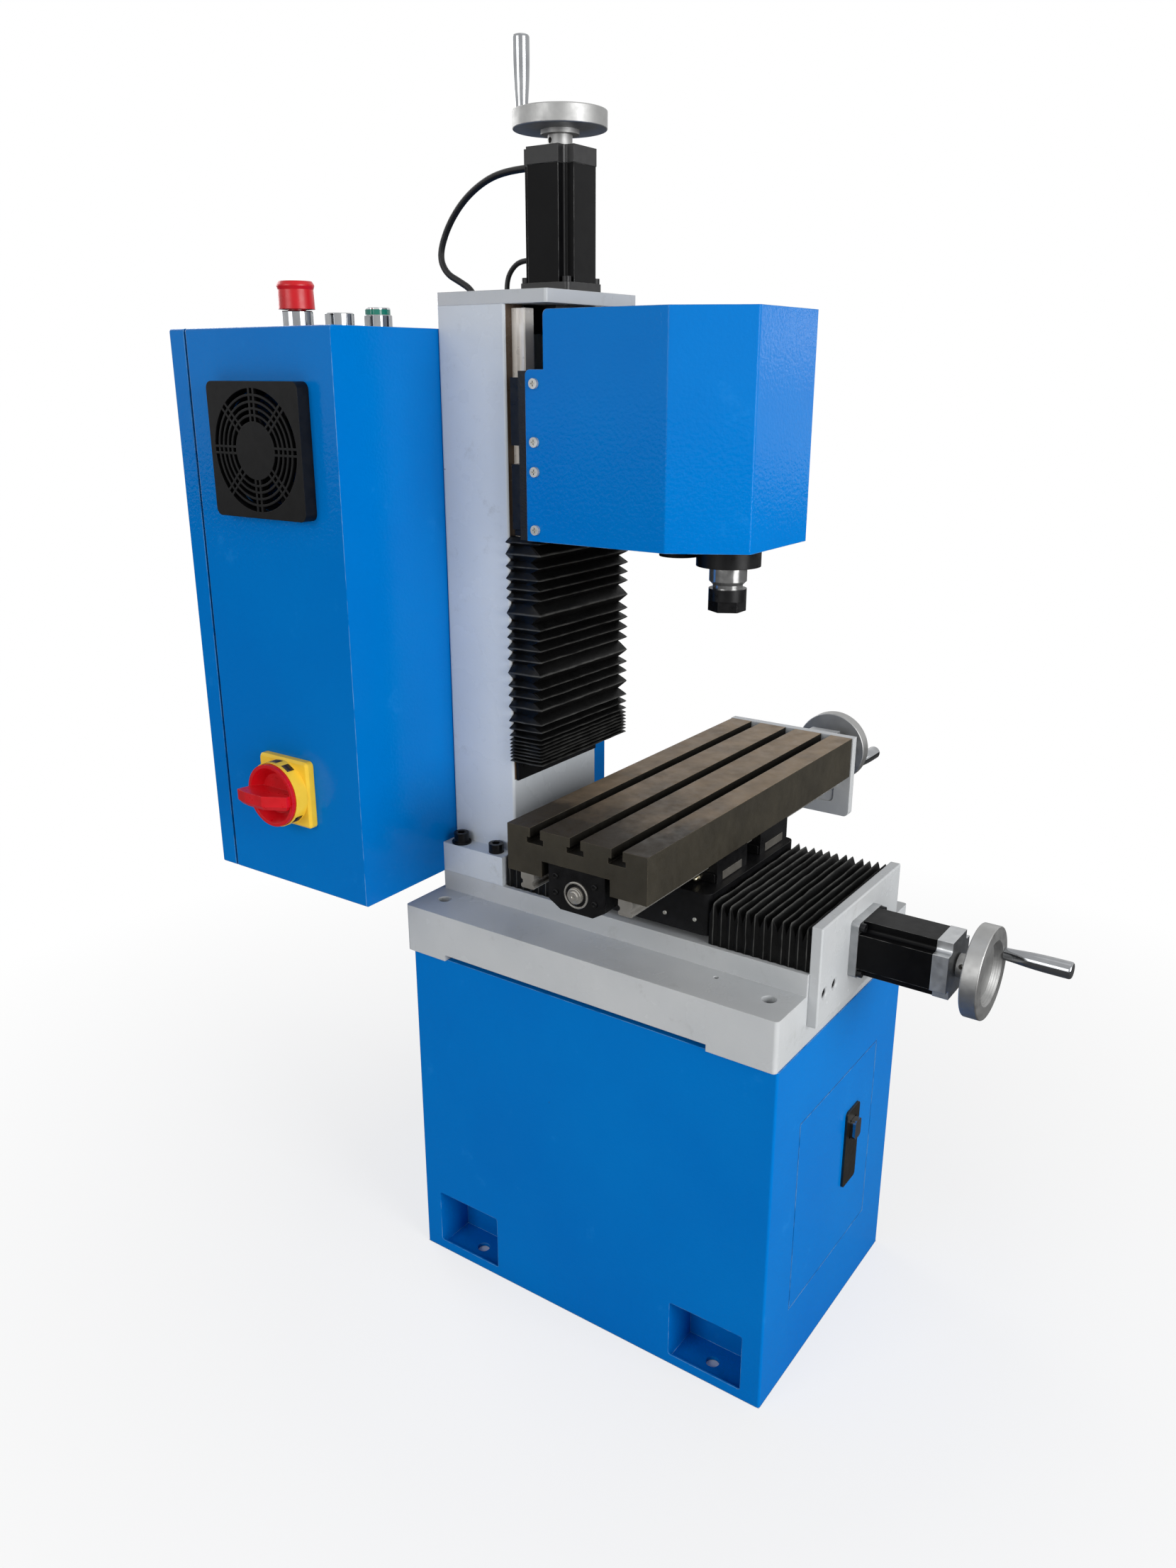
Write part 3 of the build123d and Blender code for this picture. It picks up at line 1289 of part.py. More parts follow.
with BuildPart() as switch_knob:
    knob_seat = -collar_face - switch_collar_height + switch_knob_sink - slip
    knob_face = -collar_face - switch_collar_height - switch_knob_rise
    rod("x", (knob_face, switch_y, switch_z), switch_knob_radius, knob_seat - knob_face)
    with Locations(Location((knob_face, switch_y, switch_z), axis_turn["x"])):
        Cone(switch_knob_radius - switch_knob_rim, switch_dish_floor, switch_knob_dish, align=upright,
             mode=Mode.SUBTRACT)
    blade_foot = knob_face + switch_knob_dish
    blade_points = [(blade_foot - rise * switch_blade_height, switch_y + along * switch_blade_reach)
                    for rise, along in switch_blade_shares]
    with BuildSketch(Plane.XY.offset(switch_z)) as blade_side:
        with BuildLine():
            Polyline(*blade_points, close=True)
        make_face()
    extrude(blade_side.sketch, amount=switch_blade_crest / 2, both=True)
    for side in both_sides:
        flank = Plane(origin=(0, 0, switch_z + side * switch_blade_crest / 2), x_dir=(1, 0, 0), z_dir=(0, 0, side))
        with BuildSketch(flank) as blade_flank:
            with BuildLine():
                Polyline(*[(x, side * y) for x, y in blade_points], close=True)
            make_face()
        extrude(blade_flank.sketch, amount=switch_blade_flare, taper=switch_blade_taper)
    rod("x", (knob_seat, switch_y, switch_z), switch_shaft_radius,
        -box_wall - knob_seat + switch_body_depth / 2 - slip)
save(switch_knob, "switch_knob")

# Push buttons on the box: three bezels, and the caps that slide in them
bezel_top = box_top + bezel_height
bezel_mouth = bezel_radius - bezel_wall
cap_bottom = box_top - bezel_nut_height
with BuildPart() as button_bezels:
    for place in range(3):
        button_x = panel_button_first + place * panel_button_pitch
        rod("z", (button_x, panel_button_y, box_top), bezel_radius, bezel_height)
        rod("z", (button_x, panel_button_y, box_top - bezel_nut_height), bezel_barrel, bezel_nut_height)
        rod("z", (button_x, panel_button_y, box_top - bezel_nut_height), bezel_bore,
            bezel_nut_height + bezel_height, Mode.SUBTRACT)
        rod("z", (button_x, panel_button_y, bezel_top - bezel_mouth_depth), bezel_mouth, bezel_mouth_depth,
            Mode.SUBTRACT)
    chamfer(button_bezels.faces().sort_by(Axis.Z)[-3:].edges().filter_by(
        lambda edge: edge.radius > bezel_mouth), bezel_edge)
save(button_bezels, "button_bezels")

with BuildPart() as estop_cap:
    estop_foot = bezel_top + estop_skirt_gap
    estop_side = Plane(origin=(panel_button_first, panel_button_y, estop_foot), x_dir=(1, 0, 0), z_dir=(0, -1, 0))
    with BuildSketch(estop_side):
        Polygon((0, 0), *[(a * estop_radius, b * estop_height) for a, b in estop_outline_shares],
                (0, estop_height), align=None)
    revolve(axis=Axis(estop_side.origin, (0, 0, 1)))
    rod("z", (panel_button_first, panel_button_y, estop_foot), bezel_radius + slip, estop_skirt_depth, Mode.SUBTRACT)
    rod("z", (panel_button_first, panel_button_y, cap_bottom), bezel_bore - slip,
        estop_foot + estop_skirt_depth - cap_bottom)
save(estop_cap, "estop_cap")

with BuildPart() as stop_button:
    stop_x = panel_button_first + panel_button_pitch
    rod("z", (stop_x, panel_button_y, cap_bottom), bezel_bore - slip, bezel_top - cap_sink - cap_bottom)
    rod("z", (stop_x, panel_button_y, bezel_top - cap_sink), bezel_mouth - slip, cap_sink - slip)
save(stop_button, "stop_button")

with BuildPart() as start_button:
    start_x = panel_button_first + 2 * panel_button_pitch
    rod("z", (start_x, panel_button_y, cap_bottom), bezel_bore - slip, bezel_top - cap_sink - cap_bottom)
    rod("z", (start_x, panel_button_y, bezel_top - cap_sink), bezel_mouth - slip, cap_sink + start_lens_height)
    chamfer(start_button.faces().sort_by(Axis.Z)[-1].edges(), bezel_edge)
save(start_button, "start_button")

# Cable glands and strain reliefs
with BuildPart() as cable_glands:
    for way, level, place_x, place_y in (
        (1, box_top, 0, gland_y),
        *[(-1, box_bottom, x, lower_gland_y) for x in lower_gland_places],
    ):
        seat = Plane(origin=(place_x, place_y, level), x_dir=(1, 0, 0), z_dir=(0, 0, way))
        with BuildSketch(seat):
            RegularPolygon(gland_radius, 6)
        extrude(amount=gland_nut_height)
        disc(seat.offset(gland_nut_height), gland_cap_radius, gland_cap_height)
    motor_back = z_screw_y + motor_size / 2
    rod("y", (0, motor_back, motor_cable_route[0][2]), cable_relief_radius, cable_relief_length)
    body_back = motor_back - motor_body_inset
    rod("y", (brake_cable_route[0][0], body_back, brake_cable_route[0][2]), brake_relief_radius,
        brake_relief_length)
    rod("z", (*brake_cable_route[-1][:2], top_plate_face), grommet_radius, grommet_height)
save(cable_glands, "cable_glands")

# Cables of the Z motor
with BuildPart() as z_motor_cable:
    cord(motor_cable_route, motor_cable_radius)
save(z_motor_cable, "z_motor_cable")

with BuildPart() as z_brake_cable:
    cord(brake_cable_route, brake_cable_radius)
save(z_brake_cable, "z_brake_cable")

# Screws, handwheels and handles of the three axes
axis_sets = {
    "x": (x_motor_plane, short_motor_length, table_left - end_plate_face, x_handle_turn),
    "y": (y_motor_plane, short_motor_length, y_plate_face - y_screw_end, y_handle_turn),
    "z": (z_motor_plane, long_motor_length, z_screw_end - top_plate_face, z_handle_turn),
}
for axis, (plane, motor_length, screw_start, turn) in axis_sets.items():
    wheel_plane = plane.offset(motor_length)
    shaft_end = motor_length + wheel_gap + wheel_hub_length + wheel_rim_thickness - wheel_dish_depth - wheel_floor
    coupling_start = -motor_pilot_height - coupling_length - run_fit
    with BuildPart() as axis_screw:
        turned_screw(plane, coupling_start - screw_start, shaft_end, screw_start, coupling_start)
    save(axis_screw, f"{axis}_screw")
    with BuildPart() as axis_wheel:
        handwheel(wheel_plane, turn)
    save(axis_wheel, f"{axis}_handwheel")
    with BuildPart() as axis_handle:
        handle(wheel_plane, turn)
    save(axis_handle, f"{axis}_handle")
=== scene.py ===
import logging
import math
from dataclasses import dataclass
from enum import Enum
from typing import Any, Mapping, Sequence

import bmesh
import bpy
import numpy as np
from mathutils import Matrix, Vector


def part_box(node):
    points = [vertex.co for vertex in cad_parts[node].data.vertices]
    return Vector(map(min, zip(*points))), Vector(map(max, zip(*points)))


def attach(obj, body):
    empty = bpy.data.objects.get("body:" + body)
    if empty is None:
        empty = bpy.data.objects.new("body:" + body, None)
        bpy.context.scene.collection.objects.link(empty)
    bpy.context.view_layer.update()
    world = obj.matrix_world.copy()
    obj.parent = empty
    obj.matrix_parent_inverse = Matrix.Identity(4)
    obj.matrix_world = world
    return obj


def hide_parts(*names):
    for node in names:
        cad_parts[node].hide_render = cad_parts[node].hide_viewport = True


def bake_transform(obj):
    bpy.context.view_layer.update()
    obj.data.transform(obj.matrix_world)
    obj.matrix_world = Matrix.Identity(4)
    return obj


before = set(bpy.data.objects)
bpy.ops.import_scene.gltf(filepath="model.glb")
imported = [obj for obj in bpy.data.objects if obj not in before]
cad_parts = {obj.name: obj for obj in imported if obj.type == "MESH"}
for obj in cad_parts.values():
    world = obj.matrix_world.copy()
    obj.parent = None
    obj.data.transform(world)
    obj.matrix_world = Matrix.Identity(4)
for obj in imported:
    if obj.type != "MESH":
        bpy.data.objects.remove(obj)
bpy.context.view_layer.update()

LOG = logging.getLogger("mill")
MM = 0.001

# Kinds of shader node, by short names
COORD = "ShaderNodeTexCoord"
NOISE = "ShaderNodeTexNoise"
RANGE = "ShaderNodeMapRange"
MIX = "ShaderNodeMix"
MATH = "ShaderNodeMath"
VECTOR = "ShaderNodeVectorMath"
SPLIT = "ShaderNodeSeparateXYZ"
MAPPING = "ShaderNodeMapping"
BUMP = "ShaderNodeBump"
SURFACE = "ShaderNodeBsdfPrincipled"
OUTPUT = "ShaderNodeOutputMaterial"

Socket = bpy.types.NodeSocket
Tree = bpy.types.NodeTree
Point = tuple[float, float, float]
Colour = tuple[float, float, float, float]
Profile = tuple[tuple[float, float], ...]


class Way(Enum):
    """The three directions of the machine's frame."""

    X = 0
    Y = 1
    Z = 2

    @property
    def unit(self) -> np.ndarray:
        """Return the direction as a unit vector."""
        return np.eye(3)[self.value]


def linear(colour: str) -> Colour:
    """Turn an sRGB hex colour into linear light.

    Args:
        colour: Six hex digits after a hash.

    Returns:
        Red, green, blue and an alpha of one.
    """
    values = np.array([int(colour[i:i + 2], 16) for i in (1, 3, 5)]) / 255.0
    light = np.where(values <= 0.04045, values / 12.92, ((values + 0.055) / 1.055) ** 2.4)
    return (*light.tolist(), 1.0)


def per_metre(size_mm: float) -> float:
    """Return the texture scale whose pattern repeats about once in a size."""
    return 1.0 / (size_mm * MM)


def add_node(tree: Tree, kind: str, inputs: Mapping[Any, Any] | None = None, **settings: Any) -> bpy.types.Node:
    """Add one node with its settings, values and links.

    Args:
        tree: The node tree that gets it.
        kind: Blender's name for the node.
        inputs: Socket names or numbers, each with a value or with the output that feeds it.
        **settings: The node's own properties.

    Returns:
        The new node.
    """
    node = tree.nodes.new(kind)
    for key, value in settings.items():
        setattr(node, key, value)
    for key, value in (inputs or {}).items():
        if isinstance(value, Socket):
            tree.links.new(value, node.inputs[key])
        else:
            node.inputs[key].default_value = value
    return node


def empty_tree(owner: bpy.types.Material | bpy.types.World) -> Tree:
    """Return the node tree of a material or a world, with nothing in it yet.

    Args:
        owner: The material or world.

    Returns:
        Its emptied tree.
    """
    owner.use_nodes = True
    owner.node_tree.nodes.clear()
    return owner.node_tree


def new_object(name: str, data: bpy.types.ID) -> bpy.types.Object:
    """Put a new object into the scene, at the origin.

    Args:
        name: The object's name.
        data: Its mesh, curve, lamp or camera.

    Returns:
        The object.
    """
    made = bpy.data.objects.new(name, data)
    bpy.context.scene.collection.objects.link(made)
    return made


@dataclass(frozen=True)
class Finish:
    """A finish with two tones, a band of roughness and a fine relief, each at a real size.

    Attributes:
        name: What the material is and how its surface was made.
        tone: Main colour.
        second: Colour that drifts in and out of the main one.
        drift_mm: Size of that drift.
        rough: Lowest and highest roughness.
        grain_mm: Size of the relief's grain.
        relief: Strength of the relief.
        metallic: One for bare metal.
        shine: Strength of its mirror reflection, a half for most paints.
        edge_mm: Radius that softens sharp edges, or zero.
        edge_wear_and_highlight: Colour that shows where those edges are rubbed and where a highlight is painted on
            them, or nothing.
    """

    name: str
    tone: str
    second: str
    drift_mm: float = 60.0
    rough: tuple[float, float] = (0.3, 0.42)
    grain_mm: float = 1.5
    relief: float = 0.1
    metallic: float = 0.0
    shine: float = 0.5
    edge_mm: float = 0.0
    edge_wear_and_highlight: str = ""

    @staticmethod
    def patches(tree: Tree, place: Socket, colour: Socket | Colour, tone: str, size_mm: float,
                band: tuple[float, float], most: float = 1.0, detail: float = 5.0, fray: float = 0.5) -> Socket:
        """Mix another tone into a colour, in patches of noise.

        Args:
            tree: The material's nodes.
            place: The coordinates.
            colour: What lies under the patches.
            tone: Their own colour.
            size_mm: Their size.
            band: Noise at which a patch starts, and at which it is full.
            most: Share of the tone in a full patch.
            detail: Octaves of the noise.
            fray: How strong its finer octaves are.

        Returns:
            The mixed colour.
        """
        cloud = add_node(tree, NOISE, {"Vector": place, "Scale": per_metre(size_mm), "Detail": detail,
                                       "Roughness": fray})
        share = add_node(tree, RANGE, {"Value": cloud.outputs["Fac"], "From Min": band[0], "From Max": band[1],
                                       "To Max": most})
        return add_node(tree, MIX, {0: share.outputs[0], 6: colour, 7: linear(tone)}, data_type="RGBA").outputs[2]

    def colour(self, tree: Tree, place: Socket) -> Socket:
        """Return the colour: the second tone in soft clouds over the main one."""
        return self.patches(tree, place, linear(self.tone), self.second, self.drift_mm, (0.35, 0.65))

    def height(self, tree: Tree, place: Socket) -> Socket:
        """Return the relief: noise at the size of the grain."""
        grain = add_node(tree, NOISE, {"Vector": place, "Scale": per_metre(self.grain_mm), "Detail": 3.0})
        return grain.outputs["Fac"]

    def roughness(self, tree: Tree, place: Socket) -> Socket:
        """Return the roughness: noise a third as large as the drift, between the two ends of the band."""
        cloud = add_node(tree, NOISE, {"Vector": place, "Scale": per_metre(self.drift_mm / 3), "Detail": 6.0})
        return add_node(tree, RANGE, {"Value": cloud.outputs["Fac"], "From Min": 0.3, "From Max": 0.7,
                                      "To Min": self.rough[0], "To Max": self.rough[1]}).outputs[0]

    def metal(self, tree: Tree, place: Socket) -> Socket | float:
        """Return how metallic the surface is, the same all over unless a finish says more."""
        return self.metallic

    def rubbed_and_highlit_edges(self, tree: Tree, place: Socket, soft: Socket, colour: Socket) -> Socket:
        """Paint a pale tone in patches along sharp edges, where the softened normal leans away from the face's own:
        wear and a painted highlight.

        Args:
            tree: The material's nodes.
            place: The coordinates.
            soft: The normal with softened edges.
            colour: The colour without the pale edges.

        Returns:
            The colour with pale edges of wear and painted highlight.
        """
        face = add_node(tree, "ShaderNodeNewGeometry").outputs["True Normal"]
        lean = add_node(tree, VECTOR, {0: soft, 1: face}, operation="DOT_PRODUCT").outputs["Value"]
        edge = add_node(tree, RANGE, {"Value": lean, "From Min": 0.9, "From Max": 0.75}).outputs[0]
        patch = add_node(tree, NOISE, {"Vector": place, "Scale": per_metre(16.0), "Detail": 6.0}).outputs["Fac"]
        bare = add_node(tree, RANGE, {"Value": patch, "From Min": 0.36, "From Max": 0.6}).outputs[0]
        share = add_node(tree, MATH, {0: edge, 1: bare}, operation="MULTIPLY").outputs[0]
        # Painted highlight and wear: the pale edge tone mixed in along sharp edges, in patches.
        return add_node(tree, MIX, {0: share, 6: colour, 7: linear(self.edge_wear_and_highlight)}, data_type="RGBA").outputs[2]

    def build(self) -> bpy.types.Material:
        """Make the material, or find it where it is made already.

        Returns:
            The material.
        """
        known = bpy.data.materials.get(self.name)
        if known is not None:
            return known
        material = bpy.data.materials.new(self.name)
        tree = empty_tree(material)
        place = add_node(tree, COORD).outputs["Object"]
        bump = add_node(tree, BUMP, {"Height": self.height(tree, place), "Strength": self.relief,
                                     "Distance": self.grain_mm * MM})
        colour = self.colour(tree, place)
        if self.edge_mm > 0:
            soft = add_node(tree, "ShaderNodeBevel", {"Radius": self.edge_mm * MM}, samples=6).outputs["Normal"]
            tree.links.new(soft, bump.inputs["Normal"])
            if self.edge_wear_and_highlight:
                colour = self.rubbed_and_highlit_edges(tree, place, soft, colour)
        shader = add_node(tree, SURFACE, {
            "Base Color": colour, "Roughness": self.roughness(tree, place), "Metallic": self.metal(tree, place),
            "Specular IOR Level": self.shine, "Normal": bump.outputs["Normal"],
        })
        add_node(tree, OUTPUT, {"Surface": shader.outputs["BSDF"]})
        return material


@dataclass(frozen=True)
class PowderCoat(Finish):
    """Powder coat on sheet steel: an even gloss with orange peel, faint rubbed patches and a few small chips."""

    rubbed: str = "#2F8FDC"
    chip: str = "#3B342F"

    def colour(self, tree: Tree, place: Socket) -> Socket:
        """Return the coat's colour with pale rubbed patches and sparse dark chips."""
        worn = self.patches(tree, place, super().colour(tree, place), self.rubbed, size_mm=45.0, band=(0.62, 0.8),
                            most=0.35, detail=9.0, fray=0.7)
        return self.patches(tree, place, worn, self.chip, size_mm=7.0, band=(0.815, 0.83), detail=2.0)


@dataclass(frozen=True)
class CastEnamel(Finish):
    """Enamel brushed over a casting: soft waves in the gloss, faint grime and a few chips down to the iron."""

    grime: str = "#8E8C86"
    chip: str = "#4A4038"

    def colour(self, tree: Tree, place: Socket) -> Socket:
        """Return the enamel's colour with thin grime in soft patches and sparse chips."""
        soiled = self.patches(tree, place, super().colour(tree, place), self.grime, size_mm=28.0, band=(0.58, 0.78),
                              most=0.4, detail=10.0, fray=0.75)
        return self.patches(tree, place, soiled, self.chip, size_mm=9.0, band=(0.79, 0.81), detail=3.0)


@dataclass(frozen=True)
class BareFacedEnamel(CastEnamel):
    """Cast enamel with one machined face left bare for the rails: brown iron in front, above a sill."""

    bare: str = "#5B4A3B"
    face_y_mm: float = 134.6
    sill_mm: float = 566.8

    def colour(self, tree: Tree, place: Socket) -> Socket:
        """Mix enamel and bare iron by place.

        Args:
            tree: The material's nodes.
            place: The coordinates.

        Returns:
            Bare iron where y is below the face and z above the sill, and enamel elsewhere.
        """
        base = super().colour(tree, place)
        axes = add_node(tree, SPLIT, {0: place})
        front = add_node(tree, MATH, {0: axes.outputs["Y"], 1: self.face_y_mm * MM}, operation="LESS_THAN")
        above = add_node(tree, MATH, {0: axes.outputs["Z"], 1: self.sill_mm * MM}, operation="GREATER_THAN")
        mask = add_node(tree, MATH, {0: front.outputs[0], 1: above.outputs[0]}, operation="MULTIPLY").outputs[0]
        return add_node(tree, MIX, {0: mask, 6: base, 7: linear(self.bare)}, data_type="RGBA").outputs[2]


@dataclass(frozen=True)
class StainedIron(Finish):
    """Milled iron that oil and rust have stained: brown on top, grey-green at the sides, with painted shade, black,
    in the slots.

    Attributes:
        side: Colour of the sides.
        side_worn: Colour of their paler clouds.
        slot: Colour of the painted shade in the slots.
        stain: Colour of the oil on top.
        oil_mm: Where along X the oil is thickest, and where it ends.
        oil_most: Share that it adds where it is thickest.
        top_mm: Level just below the top face.
        slot_half_mm: Half of a slot's width at its widest.
        slot_rows_mm: Middles of the slots along Y.
        left_end_mm: Just inside the table's left end.
    """

    side: str = "#302D26"
    side_worn: str = "#3C382F"
    slot: str = "#15130F"
    stain: str = "#39332B"
    oil_mm: tuple[float, float] = (-200.0, 20.0)
    oil_most: float = 0.62
    top_mm: float = 576.3
    slot_half_mm: float = 9.5
    slot_rows_mm: Point = (-74.8, -30.0, 14.8)
    left_end_mm: float = -196.6

    def colour(self, tree: Tree, place: Socket) -> Socket:
        """Mix the stains by place.

        Args:
            tree: The material's nodes.
            place: The coordinates.

        Returns:
            Brown under oil above the top level, grey below it, and painted shade, black, between the slots' walls.
        """
        clean = super().colour(tree, place)
        axes = add_node(tree, SPLIT, {0: place})
        shade = add_node(tree, NOISE, {"Vector": place, "Scale": per_metre(70.0), "Detail": 8.0, "Roughness": 0.65})
        end = add_node(tree, RANGE, {"Value": axes.outputs["X"], "From Min": self.oil_mm[0] * MM,
                                     "From Max": self.oil_mm[1] * MM, "To Min": self.oil_most, "To Max": 0.0})
        oiled = add_node(tree, MATH, {0: shade.outputs["Fac"], 1: end.outputs[0]}, operation="ADD")
        oil = add_node(tree, RANGE, {"Value": oiled.outputs[0], "From Min": 0.55, "From Max": 1.0}).outputs[0]
        top = add_node(tree, MIX, {0: oil, 6: clean, 7: linear(self.stain)}, data_type="RGBA").outputs[2]
        worn = add_node(tree, RANGE, {"Value": shade.outputs["Fac"], "From Min": 0.4, "From Max": 0.7}).outputs[0]
        side = add_node(tree, MIX, {0: worn, 6: linear(self.side), 7: linear(self.side_worn)},
                        data_type="RGBA").outputs[2]
        level = self.top_mm * MM
        upper = add_node(tree, MATH, {0: axes.outputs["Z"], 1: level}, operation="GREATER_THAN").outputs[0]
        colour = add_node(tree, MIX, {0: upper, 6: side, 7: top}, data_type="RGBA").outputs[2]
        # Painted shade: black on the faces below the top level within each slot's width.
        below = add_node(tree, MATH, {0: axes.outputs["Z"], 1: level}, operation="LESS_THAN").outputs[0]
        inside = add_node(tree, MATH, {0: axes.outputs["X"], 1: self.left_end_mm * MM}, operation="GREATER_THAN")
        deep = add_node(tree, MATH, {0: below, 1: inside.outputs[0]}, operation="MULTIPLY").outputs[0]
        for row in self.slot_rows_mm:
            near = add_node(tree, MATH, {0: axes.outputs["Y"], 1: row * MM, 2: self.slot_half_mm * MM},
                            operation="COMPARE").outputs[0]
            mask = add_node(tree, MATH, {0: near, 1: deep}, operation="MULTIPLY").outputs[0]
            colour = add_node(tree, MIX, {0: mask, 6: colour, 7: linear(self.slot)}, data_type="RGBA").outputs[2]
        return colour


@dataclass(frozen=True)
class BrushedMetal(Finish):
    """Metal with fine straight marks along one way, from grinding or brushing.

    Real marks are a tenth of a millimetre apart and less. They are drawn coarser, so that they show.

    Attributes:
        marks: The way that the marks run.
        length_mm: How long a mark is.
    """

    marks: Way = Way.Z
    length_mm: float = 60.0

    def height(self, tree: Tree, place: Socket) -> Socket:
        """Stretch the grain's noise along the marks.

        Args:
            tree: The material's nodes.
            place: The coordinates.

        Returns:
            The relief.
        """
        scale = np.full(3, per_metre(self.grain_mm))
        scale[self.marks.value] = per_metre(self.length_mm)
        turned = add_node(tree, MAPPING, {"Vector": place, "Scale": tuple(scale)})
        return add_node(tree, NOISE, {"Vector": turned.outputs[0], "Scale": 1.0, "Detail": 2.0}).outputs["Fac"]


@dataclass(frozen=True)
class TurnedMetal(Finish):
    """Metal turned on a lathe: fine rings round its axis that catch the light.

    Real rings are a fifth of a millimetre apart and less. They are drawn coarser, so that they show.

    Attributes:
        centre_mm: A point on the axis.
        axis: The way of the axis.
    """

    centre_mm: Point = (0.0, 0.0, 0.0)
    axis: Way = Way.Z

    def height(self, tree: Tree, place: Socket) -> Socket:
        """Draw rings: the sine of the distance from the axis, once in each grain size.

        Args:
            tree: The material's nodes.
            place: The coordinates.

        Returns:
            The relief.
        """
        flat = tuple((1.0 - self.axis.unit).tolist())
        centre = tuple(c * MM for c in self.centre_mm)
        offset = add_node(tree, VECTOR, {0: place, 1: centre}, operation="SUBTRACT").outputs[0]
        across = add_node(tree, VECTOR, {0: offset, 1: flat}, operation="MULTIPLY").outputs[0]
        distance = add_node(tree, VECTOR, {0: across}, operation="LENGTH").outputs["Value"]
        turns = add_node(tree, MATH, {0: distance, 1: 2 * math.pi * per_metre(self.grain_mm)}, operation="MULTIPLY")
        return add_node(tree, MATH, {0: turns.outputs[0]}, operation="SINE").outputs[0]


@dataclass(frozen=True)
class BandedMetal(Finish):
    """Bare metal that another matter covers between two levels.

    Attributes:
        cover: Colour between the levels.
        low_mm: Where the cover starts.
        high_mm: Where it ends.
    """

    cover: str = "#0D0D0E"
    low_mm: float = 1000.0
    high_mm: float = 2000.0

    def band(self, tree: Tree, place: Socket) -> Socket:
        """Return one between the two levels and zero elsewhere.

        Args:
            tree: The material's nodes.
            place: The coordinates.

        Returns:
            The mask.
        """
        height = add_node(tree, SPLIT, {0: place}).outputs["Z"]
        middle, half = (self.low_mm + self.high_mm) / 2 * MM, (self.high_mm - self.low_mm) / 2 * MM
        return add_node(tree, MATH, {0: height, 1: middle, 2: half}, operation="COMPARE").outputs[0]

    def colour(self, tree: Tree, place: Socket) -> Socket:
        """Return the cover's colour in the band and the metal's elsewhere."""
        base, mask = super().colour(tree, place), self.band(tree, place)
        return add_node(tree, MIX, {0: mask, 6: base, 7: linear(self.cover)}, data_type="RGBA").outputs[2]

    def metal(self, tree: Tree, place: Socket) -> Socket | float:
        """Return metal outside the band only."""
        return add_node(tree, MATH, {0: 1.0, 1: self.band(tree, place)}, operation="SUBTRACT").outputs[0]


@dataclass(frozen=True)
class FoldedCloth(Finish):
    """Coated cloth folded into pleats: black, with a fine weave, and crests paler from rubbing and a painted
    highlight.
    """

    crest: str = "#50504E"

    def colour(self, tree: Tree, place: Socket) -> Socket:
        """Pale the crests that the mesh marks, in patches: wear and a painted highlight.

        Args:
            tree: The material's nodes.
            place: The coordinates.

        Returns:
            The cloth's colour, paler towards the crests with wear and painted highlight.
        """
        base = super().colour(tree, place)
        # Crest line: wear and a painted highlight, mixed in patches.
        mark = add_node(tree, "ShaderNodeAttribute", attribute_name="crest").outputs["Fac"]
        patch = add_node(tree, NOISE, {"Vector": place, "Scale": per_metre(14.0), "Detail": 5.0}).outputs["Fac"]
        worn = add_node(tree, MATH, {0: mark, 1: patch}, operation="MULTIPLY").outputs[0]
        share = add_node(tree, RANGE, {"Value": worn, "From Min": 0.12, "From Max": 0.55}).outputs[0]
        return add_node(tree, MIX, {0: share, 6: base, 7: linear(self.crest)}, data_type="RGBA").outputs[2]


